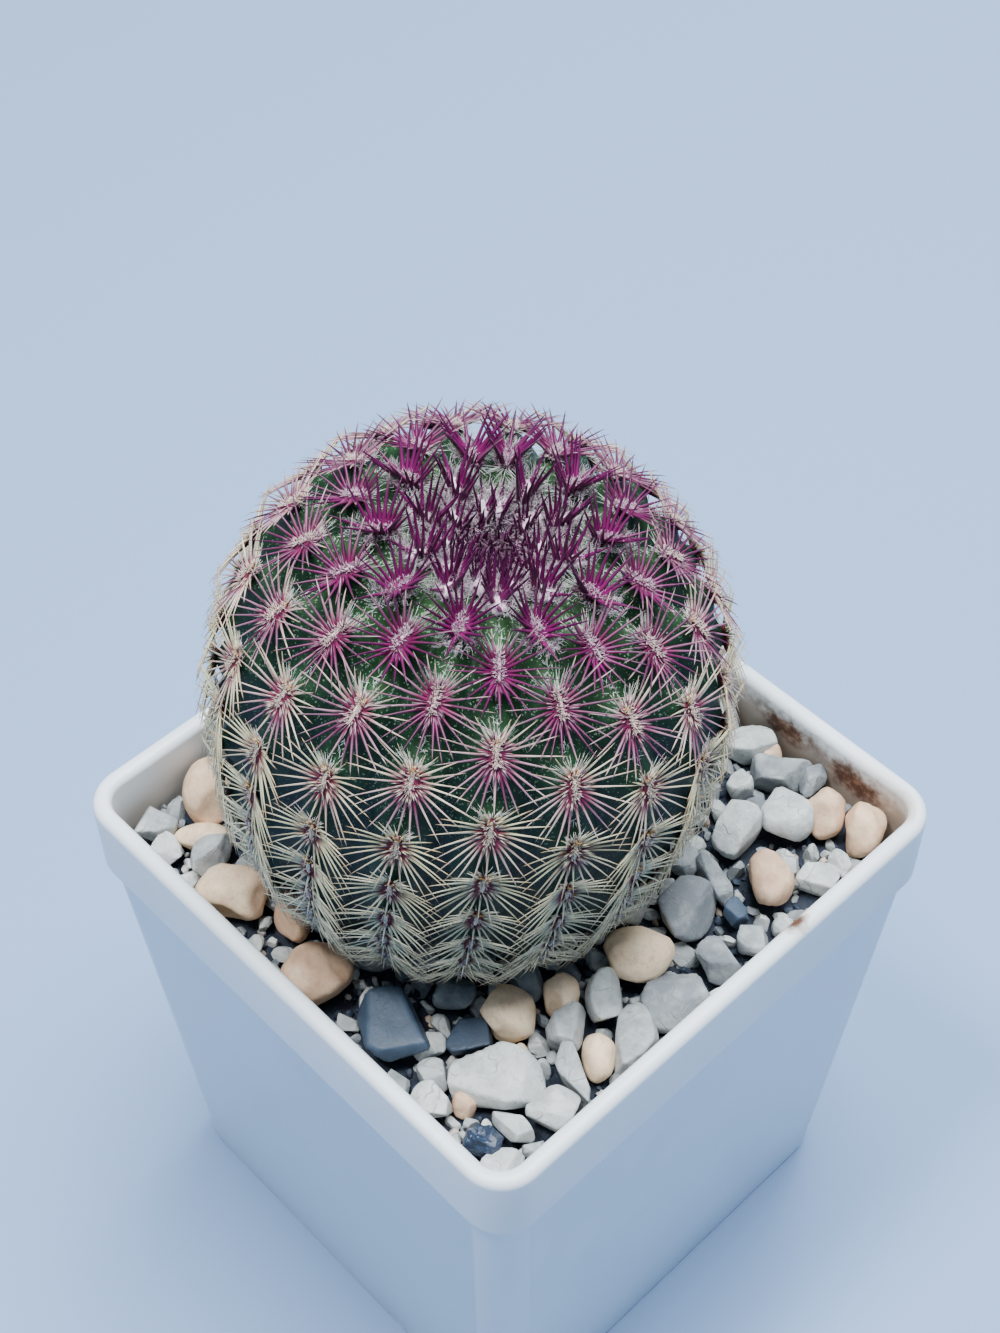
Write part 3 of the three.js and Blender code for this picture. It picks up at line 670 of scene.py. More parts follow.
# %% The stones of the front sides
tan_pebbles = [
    (-32, -24.5, 9.4, 7.8, 8, 136), (-18.2, -31.9, 9.6, 7.6, 7.2, 30), (-10.2, -28.6, 7.4, 5, 6.4, 136),
    (-1.8, -32, 9.4, 8.6, 8, 46), (24.8, -0.7, 8.8, 7.8, 7.6, 60), (19, -18, 7.4, 6.8, 6.6, 20),
    (21.6, -11.6, 5.4, 4.6, 6, 136), (23.6, -20.6, 3, 2.6, 3.4, 0), (30.6, -14, 6.6, 4.4, 5.6, 130),
    (23.4, -30.4, 3.2, 2.8, 4, 0), (29.1, 19.4, 8.2, 5.8, 6.8, 140), (27.1, 32, 6.8, 5.6, 7.4, 120),
    (32.4, 33.8, 7.6, 5.6, 7.6, 110), (15.4, 35, 3.2, 2.8, 4.6, 0), (-27.8, -29.2, 8.2, 4, 4.4, 40),
]
dark_stones = [(10.6, -29.9, 11, 9.4, 6.4, 20), (17.4, -23.8, 6, 5, 4.4, 60), (28.9, 13, 4.4, 3.4, 4.6, 120)]
crystal_chips = [(29, -32.2, 5.2, 4, 5.2, 20)]
grey_chips = [
    (14.8, -28.1, 4.4, 3.8, 4.6, 46), (18.2, -30.4, 4.6, 4, 4.4, 10), (20.8, -33.2, 5.4, 4.6, 4.8, 20),
    (24.4, -25.4, 12.2, 8, 6.4, 32), (30, -28.4, 6, 3.2, 4.6, 0), (33, -33, 5.6, 4, 5, 46),
    (34.2, -28.4, 3, 3, 3.6, 0), (32.2, -23.6, 6.8, 6, 6, 46), (30.4, -18.4, 9.6, 3.6, 5.4, -22),
    (32.4, -9.2, 9.2, 5.4, 6, 130), (25.8, -14, 6.4, 5.2, 5.6, 90), (25.6, -8, 7.4, 5, 6.4, 130),
    (32.2, -1.6, 9.6, 8, 6.2, 56), (32, 6.4, 6.4, 5.6, 5.6, 20), (33, 11.6, 4.6, 4.4, 4.4, 0),
    (24.4, 8.8, 9.4, 8, 6, 150), (24, 14.4, 7.6, 3.2, 5, -24), (21, 21.6, 8.6, 6.6, 6.4, 128),
    (23.6, 28.2, 8.4, 6.8, 6.6, 140), (33.2, 24.4, 7.2, 4.4, 4.8, 80), (28.4, 23.6, 4, 3, 3.8, 0),
    (12.4, 34.2, 7.2, 5, 5.6, 40), (18.6, 33.6, 8.6, 5, 5.8, 46), (22.6, 35, 5.2, 3.8, 5.4, 130),
    (7, 35, 5, 4.2, 5, 0), (15.4, 28.4, 4.8, 3.6, 4.8, 136), (34.4, 16, 3.4, 2.6, 3.4, 0),
    (33.4, 28.2, 3.4, 3, 3.8, 0), (-24.6, -30.6, 7, 4.6, 5.8, 120), (-33.2, -32.6, 6, 5.2, 5.4, 120),
    (-29.6, -34, 4.6, 4, 4.2, 0),
]
chip_tones = {3: 0.8, 8: 0.4, 10: 0.4, 12: 0.05, 13: 0.1, 15: 0.0, 16: 0.15, 23: 0.05}

# %% The stones behind the stem
stem_place = Vector((-7.8, -4.1, 79)) * MM
neck_radius = 13 * MM
drop_reach = 34
drop_tries = 900
tan_share = 0.2


def seeded_numbers(seed):
    """The same simple chain of random numbers that the solid model's bed was laid with."""
    state = seed
    while True:
        state = (state * 1664525 + 1013904223) % 4294967296
        yield state / 4294967296


def fill_round_plant(laid):
    draw = seeded_numbers(11)
    tan, grey = [], []
    taken = [(x, y, (length + width) / 4) for x, y, length, width, *_ in laid]
    neck_room = neck_radius / MM + 4.1
    half_room = (rim_side / 2 - rim_wall - seat_gap) / MM
    for _ in range(drop_tries):
        x = (2 * next(draw) - 1) * drop_reach
        y = (2 * next(draw) - 1) * drop_reach
        length = mix(5, 8.4, next(draw))
        width = length * mix(0.65, 0.95, next(draw))
        height = length * mix(0.6, 0.8, next(draw))
        turn = 180 * next(draw)
        is_tan = next(draw) < tan_share
        reach = (length + width) / 4
        inside = max(abs(x), abs(y)) + length / 2 < half_room
        from_neck = math.hypot(x - stem_place.x / MM, y - stem_place.y / MM)
        room = 1.15 if is_tan else 0.9
        crowded = any(math.hypot(x - a, y - b) < room * (size + reach) for a, b, size in taken)
        if not inside or from_neck < neck_room + reach or crowded:
            continue
        taken.append((x, y, reach))
        (tan if is_tan else grey).append((x, y, length, width, height, turn))
    return tan, grey


more_tan, more_grey = fill_round_plant(tan_pebbles + dark_stones + crystal_chips + grey_chips)
print(len(more_tan), "tan pebbles and", len(more_grey), "grey chips lie behind the stem")

# %% [markdown]
# ## Stone finishes
#
# The chips are a pale grey limestone, the pebbles a warm tan sandstone, and the flat dark ones a blue-grey
# slate, whose dark colours are also painted shade of the stem's shadow. One node group makes them all: two
# colours, mixed by how light each stone is and by soft clouds, with smudges, thin cracks and fine specks over
# them. It gives out a colour and a height, and each finish sets its own colours, cracks, gloss and depth of
# bump. On the dark crystal the pale specks are painted glints.

# %% The stone surface group
def make_stone_group():
    group = bpy.data.node_groups.new("stone surface", "ShaderNodeTree")
    panel = group.interface
    panel.new_socket("Point", in_out="INPUT", socket_type="NodeSocketVector")
    for name in ("Tone", "Cracks"):
        panel.new_socket(name, in_out="INPUT", socket_type="NodeSocketFloat")
    for name in ("Dark", "Light", "Speck_and_glint"):
        panel.new_socket(name, in_out="INPUT", socket_type="NodeSocketColor")
    panel.new_socket("Color", in_out="OUTPUT", socket_type="NodeSocketColor")
    panel.new_socket("Height", in_out="OUTPUT", socket_type="NodeSocketFloat")
    given = group.nodes.new("NodeGroupInput").outputs
    result = group.nodes.new("NodeGroupOutput").inputs
    clouds = add_noise(group, given["Point"], 2.6 * MM, detail=5, roughness=0.6)
    share = add_maths(group, "MULTIPLY_ADD", clouds, 1.4, -0.7)
    share = add_maths(group, "ADD", share, given["Tone"], clamp=True)
    body = add_mix(group, share, given["Dark"], given["Light"])
    grime = add_noise(group, given["Point"], 1.1 * MM, detail=4, roughness=0.65)
    smudges = add_maths(group, "MULTIPLY", add_step(group, grime, 0.50, 0.68), 0.3)
    smudged = add_mix(group, smudges, body, given["Dark"])
    bands = add_noise(group, given["Point"], 7 * MM, detail=2, distortion=0.3)
    from_middle = add_maths(group, "ABSOLUTE", add_maths(group, "SUBTRACT", bands, 0.5))
    lines = add_maths(group, "MULTIPLY", add_step(group, from_middle, 0.010, 0.002),
                      add_step(group, clouds, 0.46, 0.56))
    cracks = add_maths(group, "MULTIPLY", lines, given["Cracks"])
    cracked = add_mix(group, cracks, smudged, given["Dark"])
    # Fine pale specks. On the dark crystal they are painted glints.
    fine = add_noise(group, given["Point"], 0.35 * MM, detail=4, roughness=0.7)
    specks_and_glints = add_maths(group, "MULTIPLY", add_step(group, fine, 0.58, 0.70), 0.55)
    speckled_and_glinting = add_mix(group, specks_and_glints, cracked, given["Speck_and_glint"])
    group.links.new(speckled_and_glinting, result["Color"])
    rough = add_maths(group, "MULTIPLY_ADD", fine, 0.35, clouds)
    group.links.new(add_maths(group, "MULTIPLY_ADD", cracks, -0.4, rough), result["Height"])
    return group


stone_group = make_stone_group()


def make_stone_finish(name, dark, light, speck_and_glint_colour, cracks, roughness, depth):
    material, tree, shader = new_material(name, Roughness=roughness)
    tone = add_node(tree, "ShaderNodeAttribute", attribute_name="tone").outputs["Fac"]
    surface = tree.nodes.new("ShaderNodeGroup")
    surface.node_tree = stone_group
    tree.links.new(object_point(tree), surface.inputs["Point"])
    tree.links.new(tone, surface.inputs["Tone"])
    surface.inputs["Cracks"].default_value = cracks
    for socket, colour in (("Dark", dark), ("Light", light), ("Speck_and_glint", speck_and_glint_colour)):
        surface.inputs[socket].default_value = (*colour, 1)
    tree.links.new(surface.outputs["Color"], shader.inputs["Base Color"])
    add_bump(tree, shader, surface.outputs["Height"], depth, 0.7)
    return material


grey_finish = make_stone_finish("broken grey limestone", (0.20, 0.22, 0.24), (0.68, 0.70, 0.67),
                                (0.22, 0.22, 0.23), 0.6, 0.78, 0.4 * MM)
tan_finish = make_stone_finish("smooth tan sandstone", (0.50, 0.27, 0.17), (0.92, 0.71, 0.48),
                               (0.38, 0.24, 0.17), 0.25, 0.62, 0.15 * MM)
# The slate's colours are darkened as painted shade of the stem's shadow that lies over it.
slate_and_shade_finish = make_stone_finish("blue-grey slate and painted shade", (0.028, 0.045, 0.075), (0.068, 0.105, 0.16),
                                (0.03, 0.035, 0.05), 0.4, 0.5, 0.2 * MM)
# Painted glints: the crystal's pale speck colour sparkles on its dark facets.
crystal_finish = make_stone_finish("dark crystal", (0.002, 0.003, 0.008), (0.025, 0.042, 0.08),
                                   (0.34, 0.42, 0.56), 0.0, 0.06, 0.35 * MM)

# %% Lay the pebbles, the slates and the crystal
# The tones of pebbles 5 to 7 are raised as painted light, against the stem's shadow that falls on them.
pebble_tones = [0.5, 0.75, 0.3, 0.35, 1.0, 1.0, 0.8, 0.9, 0.85, 0.35, 0.4, 0.5, 0.45, 0.6, 0.85]
slate_tones = (0.6, 0.1, 0.9)


def lay_kind(stones, prefix, finish, slot, look, tones=()):
    """One piece for each stone, in the place of the frame's node with the same number."""
    for number, (x, y, length, width, height, turn) in enumerate(stones, 1):
        node = prefix if len(stones) == 1 else f"{prefix}_{number:02d}"
        stone = make_stone((length, width, height), turn, seed=number * 31 + len(prefix), **look)
        lay_stone(stone, x, y)
        drawn = random.Random(number * 7 + len(prefix)).uniform(0.25, 0.95)
        tone = tones[number - 1] if number <= len(tones) else drawn
        write_values(stone.data, "tone", np.full(len(stone.data.vertices), tone))
        if finish == crystal_finish:
            stone.data.polygons.foreach_set("use_smooth", [False] * len(stone.data.polygons))
        finish_piece(stone, f"{node}_worn", finish, slot, node)


pebble_look = {"cuts": 8, "cut_depth": (0.08, 0.28), "top_cut": 0.1, "edge": 0.14, "wear": 12,
               "lumps": 0.045, "grain": 0.004, "faces": 1500}
chip_look = {"cuts": 10, "cut_depth": (0.22, 0.48), "top_cut": 0.52, "edge": 0.02, "wear": 0,
             "lumps": 0.012, "grain": 0.003, "faces": 1400}
slab_look = {**chip_look, "top_cut": 0.74}
crystal_look = {"cuts": 30, "cut_depth": (0.08, 0.3), "top_cut": 0.2, "edge": 0.006, "wear": 0,
                "lumps": 0.02, "grain": 0.02, "faces": 260}
lay_kind(tan_pebbles + more_tan, "pebble_tan", tan_finish, "tan_stone", pebble_look, pebble_tones)
lay_kind(dark_stones, "stone_dark", slate_and_shade_finish, "dark_stone", slab_look, slate_tones)
lay_kind(crystal_chips, "stone_crystal", crystal_finish, "crystal_stone", crystal_look)

# %% Lay the grey chips as one piece
def join_pieces(pieces):
    start_fresh()
    for piece in pieces:
        piece.select_set(True)
    bpy.context.view_layer.objects.active = pieces[0]
    bpy.ops.object.join()
    return bpy.context.object


def lay_chips(stones):
    chips = []
    for number, (x, y, length, width, height, turn) in enumerate(stones):
        look = slab_look if length > 12 else chip_look
        chip = make_stone((length, width, height), turn, seed=500 + number, **look)
        lay_stone(chip, x, y)
        tone = chip_tones.get(number, random.Random(900 + number).uniform(0.2, 0.8))
        write_values(chip.data, "tone", np.full(len(chip.data.vertices), tone))
        chips.append(chip)
    return join_pieces(chips)


finish_piece(lay_chips(grey_chips + more_grey), "gravel_chips", grey_finish, "grey_stone", "gravel_grey")

# %% [markdown]
# ## Fragments and grains
#
# Between the stones lie broken bits, down to the size of sand. A few small shapes are cut like the chips,
# and are copied with a new turn, size and tone each. They are dropped from the largest to the smallest,
# and each one stays where it still finds room between the stones.

# %% Cut the small shapes
def make_bit(roundness, cuts, seed):
    rng = random.Random(seed)
    start_fresh()
    bpy.ops.mesh.primitive_ico_sphere_add(subdivisions=roundness, radius=0.5)
    bit = bpy.context.object
    bpy.ops.object.mode_set(mode="EDIT")
    for _ in range(cuts):
        direction = random_direction(rng)
        bpy.ops.mesh.select_all(action="SELECT")
        bpy.ops.mesh.bisect(plane_co=direction * 0.5 * (1 - rng.uniform(0.2, 0.5)), plane_no=direction,
                            use_fill=True, clear_outer=True)
    bpy.ops.object.mode_set(mode="OBJECT")
    points = read_points(bit.data)
    faces = [tuple(face.vertices) for face in bit.data.polygons]
    bpy.data.objects.remove(bit)
    return points, faces


fragment_shapes = [make_bit(2, 9, seed) for seed in range(6)]
grain_shapes = [make_bit(1, 4, seed) for seed in range(20, 26)]
print(len(fragment_shapes), "shapes of fragments and", len(grain_shapes), "of grains")

# %% Strew them over the bed
strew_reach = 37
bed_half_side = 37.4
laid_stones = [(x, y, (length + width) / 4) for x, y, length, width, *_ in
               tan_pebbles + dark_stones + crystal_chips + grey_chips + more_tan + more_grey]


def strew_bits(shapes, tries, sizes, overlap, sink, seed):
    """Drops bits where there is room, from the largest to the smallest size in mm. Overlap is how closely
    they may crowd."""
    rng = random.Random(seed)
    all_points, all_faces, tones = [], [], []
    taken = np.zeros((len(laid_stones) + tries, 3))
    taken[:len(laid_stones)] = laid_stones
    used = len(laid_stones)
    start = 0
    for number in range(tries):
        x = rng.uniform(-strew_reach, strew_reach)
        y = rng.uniform(-strew_reach, strew_reach)
        size = mix(*sizes, number / tries) * rng.uniform(0.85, 1.1)
        inside = max(abs(x), abs(y)) + size / 2 < bed_half_side
        from_neck = math.hypot(x - stem_place.x / MM, y - stem_place.y / MM) - neck_radius / MM
        if not inside or from_neck < size / 2:
            continue
        gaps = np.hypot(taken[:used, 0] - x, taken[:used, 1] - y)
        if (gaps < overlap * taken[:used, 2] + 0.32 * size).any():
            continue
        taken[used] = x, y, size * 0.45
        used += 1
        points, faces = rng.choice(shapes)
        spin = np.array(Matrix.Rotation(rng.uniform(0, 6), 3, random_direction(rng)))
        stretch = np.array([1, rng.uniform(0.6, 0.9), rng.uniform(0.5, 0.8)]) * size
        centre = np.array([x, y, (bed_top + bed_rise(x * MM, y * MM)) / MM + size * 0.12 - sink])
        all_points.append(((points * stretch) @ spin.T + centre) * MM)
        all_faces += [tuple(corner + start for corner in face) for face in faces]
        tones += [rng.random()] * len(points)
        start += len(points)
    mesh = bpy.data.meshes.new("bits")
    mesh.from_pydata(np.vstack(all_points).tolist(), [], all_faces)
    write_values(mesh, "tone", tones)
    piece = bpy.data.objects.new("bits", mesh)
    bpy.context.scene.collection.objects.link(piece)
    print(used - len(laid_stones), "bits laid")
    return piece


# %% The grains' finish
def make_grain_finish():
    material, tree, shader = new_material("mixed grit grains", Roughness=0.7)
    tone = add_node(tree, "ShaderNodeAttribute", attribute_name="tone").outputs["Fac"]
    kinds = add_ramp(tree, tone, [(0.0, (0.010, 0.016, 0.032)), (0.45, (0.03, 0.045, 0.075)),
                                  (0.6, (0.16, 0.18, 0.20)), (0.85, (0.40, 0.41, 0.40)),
                                  (1.0, (0.52, 0.38, 0.27))])
    cloudy = add_ramp(tree, add_noise(tree, object_point(tree), 0.8 * MM), [(0.3, 0.7), (0.7, 1.2)])
    tree.links.new(add_mix(tree, 1.0, kinds, cloudy, blend="MULTIPLY"), shader.inputs["Base Color"])
    return material


grain_finish = make_grain_finish()
fragments = strew_bits(fragment_shapes, 30000, (4.6, 1.8), 0.86, 0.3, 71)
finish_piece(fragments, "gravel_fragments", grey_finish, "grey_stone", "gravel_grey")
grains = strew_bits(grain_shapes, 9000, (1.9, 0.7), 0.8, 0.45, 72)
finish_piece(grains, "gravel_grains", grain_finish, "grey_stone", "gravel_grey")

# %% [markdown]
# ## The stem's outline
#
# The stem is a leaning, flattened ball with nineteen low ribs. Its half outline is a crown with a dip in
# the middle and a round belly, both superellipse quarters, and then the neck that goes down into the
# gravel. Everything on the plant is placed by the length of the arc from the middle of the crown and by
# the angle round the stem, in the stem's own upright frame, and is leaned over at the very end.

# %% Sizes of the stem
rib_count = 19
front_rib = math.radians(-41.3)
stem_radius = 30.4 * MM
widest_at = 32.2 * MM
crown_rise = 27.9 * MM
crown_roundness = 2.43
crown_dip = 5 * MM
dip_radius = 7.5 * MM
belly_bottom = 1 * MM
belly_roundness = 2.49
root_radius = 10 * MM
root_depth = 13 * MM
groove_depth = 2.6 * MM
tubercle = 0.5 * MM
lean = math.radians(7.35)
lean_towards = math.radians(20.3)
tilt_axis = Vector((-math.sin(lean_towards), math.cos(lean_towards), 0))
plant_turn = Matrix.Translation(stem_place) @ Matrix.Rotation(lean, 4, tilt_axis)

# %% The outline, read by arc length
def sample_outline(steps=400):
    quarter = np.linspace(0, math.pi / 2, steps)
    crown_r = stem_radius * np.sin(quarter) ** (2 / crown_roundness)
    crown_z = widest_at + crown_rise * np.cos(quarter) ** (2 / crown_roundness)
    crown_z -= crown_dip * np.exp(-((crown_r / dip_radius) ** 2))
    out = np.cos(quarter[1:]) ** (2 / belly_roundness)
    down = np.sin(quarter[1:]) ** (2 / belly_roundness)
    belly_r = mix(neck_radius, stem_radius, out)
    belly_z = mix(widest_at, belly_bottom, down)
    points = np.column_stack([np.r_[crown_r, belly_r], np.r_[crown_z, belly_z]])
    length = np.linalg.norm(np.diff(points, axis=0), axis=1).sum()
    neck = [(root_radius, -root_depth * 0.4), (root_radius * 0.8, -root_depth), (0, -root_depth)]
    points = np.vstack([points, neck])
    arcs = np.r_[0, np.cumsum(np.linalg.norm(np.diff(points, axis=0), axis=1))]
    return points, arcs, length


outline_points, outline_arcs, stem_arc = sample_outline()
print("arc from crown to neck:", round(stem_arc / MM, 2), "mm")


def on_stem(arc, angle, height=0.0):
    """Points on the stem and their directions up the rib, out of the skin and across the rib."""
    arc, angle = np.broadcast_arrays(np.asarray(arc, float), np.asarray(angle, float))
    step = 0.05 * MM
    r, z = (np.interp(arc, outline_arcs, outline_points[:, axis]) for axis in (0, 1))
    r0, z0 = (np.interp(arc - step, outline_arcs, outline_points[:, axis]) for axis in (0, 1))
    r1, z1 = (np.interp(arc + step, outline_arcs, outline_points[:, axis]) for axis in (0, 1))
    run = np.maximum(np.hypot(r1 - r0, z1 - z0), 1e-9)
    along_r, along_z = (r1 - r0) / run, (z1 - z0) / run
    cos, sin = np.cos(angle), np.sin(angle)
    up = np.stack([-along_r * cos, -along_r * sin, -along_z], -1)
    out = np.stack([-along_z * cos, -along_z * sin, along_r], -1)
    across = np.stack([-sin, cos, np.zeros_like(cos)], -1)
    point = np.stack([r * cos, r * sin, z], -1) + out * np.asarray(height)[..., None]
    return point, up, out, across


# %% Where the areoles are
first_arc, pitch = 17.7 * MM, 8.98 * MM


def areole_arc(j):
    """Areoles crowd together in the crown and at the belly. Number 0 is about on the shoulder."""
    if j < -1:
        return (first_arc - pitch) * math.exp(0.85 * (j + 1))
    low = min(max(j - 2, 0), 3.5)
    return first_arc + pitch * j - 0.55 * MM * low * (2 * max(0, j - 2) - low)


def rib_angle(rib):
    return front_rib + rib * 2 * math.pi / rib_count


half_ribs = rib_count // 2
places = np.arange(-3, 10.01, 0.5)
place_arcs = np.array([areole_arc(j) for j in places])
areoles = [(rib, j, areole_arc(j)) for rib in range(-half_ribs, half_ribs + 1)
           for j in places if -2 <= j <= 8.5 and (j == int(j)) == (rib % 2 == 0)]
areoles += [(rib, -3, areole_arc(-3)) for rib in range(-8, 9, 4)]
print(len(areoles), "areoles on", rib_count, "ribs")

# %% [markdown]
# ## The stem's skin
#
# A flat grid is wrapped round the outline like a skin: one of its sides becomes the arc and the other the
# angle. The ribs are a wave in the angle, with broad crests and narrow grooves, and each areole sits on a
# small swelling. The seam and the two poles are then merged, so the skin is closed. Its green is fresh in
# the crown and darker towards the pot. In the grooves it is darker still as painted shade, and in the
# grooves and lower down it turns bluer as a painted reflection of the pale blue world and floor. Small pale
# flecks lie over it, fewer and fainter lower down.

# %% Wrap a grid round the outline
def wrap_stem(columns_per_rib=12, rows=200):
    columns = rib_count * columns_per_rib
    start_fresh()
    bpy.ops.mesh.primitive_grid_add(x_subdivisions=columns, y_subdivisions=rows, size=1)
    stem = bpy.context.object
    flat = read_points(stem.data)
    arc = (0.5 - flat[:, 1]) * outline_arcs[-1]
    turn_share = (flat[:, 0] + 0.5) * rib_count
    angle = front_rib + turn_share * 2 * math.pi / rib_count
    from_crest = np.abs(turn_share - np.round(turn_share)) * 2
    rib = np.round(turn_share).astype(int) % rib_count
    rib = np.where(rib > half_ribs, rib - rib_count, rib)
    j = np.interp(arc, place_arcs, places)
    depth = groove_depth * smoothstep(arc, 3 * MM, 22 * MM)
    depth *= 1 - smoothstep(arc, stem_arc - 16 * MM, stem_arc)
    height = -depth * from_crest ** 1.35
    swell = tubercle * smoothstep(arc, 2 * MM, 14 * MM) * (1 - smoothstep(arc, stem_arc - 8 * MM, stem_arc))
    wave = np.cos(2 * math.pi * j) * np.where(rib % 2 == 0, 1, -1)
    height += swell * wave * (1 - from_crest) ** 0.7
    point, *_ = on_stem(arc, angle, height)
    write_points(stem.data, point)
    write_values(stem.data, "zone", arc / stem_arc)
    write_values(stem.data, "crest", 1 - from_crest)
    edit(stem)
    bpy.ops.mesh.select_all(action="SELECT")
    bpy.ops.mesh.remove_doubles(threshold=0.005 * MM)
    bpy.ops.mesh.normals_make_consistent(inside=False)
    bpy.ops.object.mode_set(mode="OBJECT")
    bpy.ops.object.shade_smooth()
    stem.data.transform(plant_turn)
    return stem


# %% The skin's finish
def make_skin():
    material, tree, shader = new_material(
        "waxy green skin", Roughness=0.58, Specular_IOR_Level=0.25, Subsurface_Weight=0.05,
        Subsurface_Radius=(0.001, 0.002, 0.0008), Subsurface_Scale=0.4)
    point = object_point(tree)
    zone = add_node(tree, "ShaderNodeAttribute", attribute_name="zone").outputs["Fac"]
    crest = add_node(tree, "ShaderNodeAttribute", attribute_name="crest").outputs["Fac"]
    # Painted shade: the grooves are darker than the crests. Painted reflection: both turn bluer lower down.
    on_crest = add_ramp(tree, zone, [(0.05, (0.045, 0.105, 0.035)), (0.22, (0.020, 0.072, 0.022)),
                                     (0.45, (0.009, 0.036, 0.020)), (0.9, (0.012, 0.034, 0.034))])
    in_groove_painted_shade = add_ramp(tree, zone, [(0.05, (0.02, 0.05, 0.016)), (0.22, (0.007, 0.026, 0.012)),
                                      (0.45, (0.003, 0.014, 0.017)), (0.9, (0.006, 0.022, 0.034))])
    green = add_mix(tree, crest, in_groove_painted_shade, on_crest)
    mottle = add_ramp(tree, add_noise(tree, point, 1.8 * MM, detail=4), [(0.3, 0.75), (0.7, 1.2)])
    green = add_mix(tree, 1.0, green, mottle, blend="MULTIPLY")
    cells = add_node(tree, "ShaderNodeTexVoronoi", {"Vector": point, "Scale": 1 / (0.38 * MM)})
    flecks = add_step(tree, add_noise(tree, point, 1.1 * MM, detail=3), 0.40, 0.58)
    dots = add_maths(tree, "MULTIPLY", add_step(tree, cells.outputs["Distance"], 0.36, 0.18), flecks)
    dots = add_maths(tree, "MULTIPLY", dots, add_ramp(tree, zone, [(0.22, 0.7), (0.5, 0.2)]))
    dotted = add_mix(tree, dots, green, (0.30, 0.46, 0.31))
    tree.links.new(dotted, shader.inputs["Base Color"])
    add_bump(tree, shader, dots, 0.05 * MM, 0.5)
    return material


stem = wrap_stem()
finish_piece(stem, "stem_skin", make_skin(), "cactus", "cactus")

# %% [markdown]
# ## Copies of one small shape
#
# The plant carries over four thousand spines and six times as many bristles and hairs. By hand one is
# modelled and then scattered in copies. Here the one shape's points are written again for each copy,
# turned to its aim, stretched to its length and bent. Each point also keeps three values that the finishes
# colour by: `along` is how far up the copy it is, `zone` how far down the plant, and `tint` is a random
# number for each copy.

# %% Model one stalk
def make_stalk(sides, cuts, widths):
    """A closed stalk of unit length round the z axis, with a ring at each cut and a width for each ring."""
    start_fresh()
    bpy.ops.mesh.primitive_cone_add(vertices=sides, radius1=1, radius2=0, depth=1, location=(0, 0, 0.5))
    stalk = bpy.context.object
    apply_place(stalk)
    bpy.ops.object.mode_set(mode="EDIT")
    for cut in cuts:
        bpy.ops.mesh.select_all(action="SELECT")
        bpy.ops.mesh.bisect(plane_co=(0, 0, cut), plane_no=(0, 0, 1))
    bpy.ops.object.mode_set(mode="OBJECT")
    points = read_points(stalk.data)
    above = points[:, 2]
    radius = np.hypot(points[:, 0], points[:, 1])
    wanted = np.interp(above, [0, *cuts, 1], [*widths, 0])
    points[:, :2] *= (wanted / np.maximum(radius, 1e-6))[:, None]
    faces = [tuple(face.vertices) for face in stalk.data.polygons]
    bpy.data.objects.remove(stalk)
    return points, faces


def make_pad(height):
    """A flat oval cushion of unit length, which lies along the z axis."""
    start_fresh()
    bpy.ops.mesh.primitive_ico_sphere_add(subdivisions=2, radius=1)
    pad = bpy.context.object
    points = read_points(pad.data) * [1, height, 0.5] + [0, 0, 0.5]
    faces = [tuple(face.vertices) for face in pad.data.polygons]
    bpy.data.objects.remove(pad)
    return points, faces


spine_shape = make_stalk(4, (0.07, 0.3, 0.6, 0.85), (1.15, 1.2, 0.8, 0.53, 0.28))
short_shape = make_stalk(3, (0.5,), (1.0, 0.7))
wool_shape = make_stalk(3, (0.25, 0.5, 0.75), (1.0, 0.9, 0.7, 0.5))
pad_shape = make_pad(0.55)
shapes = (spine_shape, short_shape, wool_shape)
print("faces of one spine, bristle and hair:", [len(faces) for points, faces in shapes])

# %% Write the copies
def unit(vectors):
    return vectors / np.maximum(np.linalg.norm(vectors, axis=-1, keepdims=True), 1e-9)


def write_copies(shape, copies, curl=None):
    """One mesh of all the copies. Each is a foot, an aim, a length, a width, a bend, a zone and a tint."""
    points, faces = shape
    foot, aim, bend = (np.array([copy[key] for copy in copies]) for key in ("foot", "aim", "bend"))
    length, width, zone, tint = (np.array([copy[key] for copy in copies])
                                 for key in ("length", "width", "zone", "tint"))
    aim = unit(aim)
    if "out" in copies[0]:
        helper = np.array([copy["out"] for copy in copies])
    else:
        helper = np.where(np.abs(aim[:, 2:]) > 0.9, [[1.0, 0, 0]], [[0, 0, 1.0]])
    first = unit(np.cross(helper, aim))
    second = np.cross(aim, first)
    along = points[:, 2]
    shift_first = points[None, :, 0] * width[:, None] / 2
    shift_second = points[None, :, 1] * width[:, None] / 2
    if curl is not None:
        turns, size = curl
        phase = tint[:, None] * 40
        wave = turns * 2 * math.pi * along[None, :] * (0.7 + 0.6 * tint[:, None])
        shift_first = shift_first + size * (np.sin(wave + phase) - np.sin(phase))
        shift_second = shift_second + size * (np.cos(wave * 0.8 + phase) - np.cos(phase))
    place = foot[:, None] + aim[:, None] * (length[:, None] * along)[..., None]
    place = place + bend[:, None] * (along ** 2)[None, :, None]
    place = place + first[:, None] * shift_first[..., None] + second[:, None] * shift_second[..., None]
    count = len(points)
    all_faces = [tuple(corner + start for corner in face)
                 for start in range(0, count * len(copies), count) for face in faces]
    mesh = bpy.data.meshes.new("copies")
    mesh.from_pydata(place.reshape(-1, 3).tolist(), [], all_faces)
    write_values(mesh, "along", np.tile(along, len(copies)))
    write_values(mesh, "zone", np.repeat(zone, count))
    write_values(mesh, "tint", np.repeat(tint, count))
    mesh.transform(plant_turn)
    mesh.polygons.foreach_set("use_smooth", [True] * len(mesh.polygons))
    mesh.update()
    piece = bpy.data.objects.new("copies", mesh)
    bpy.context.scene.collection.objects.link(piece)
    return piece

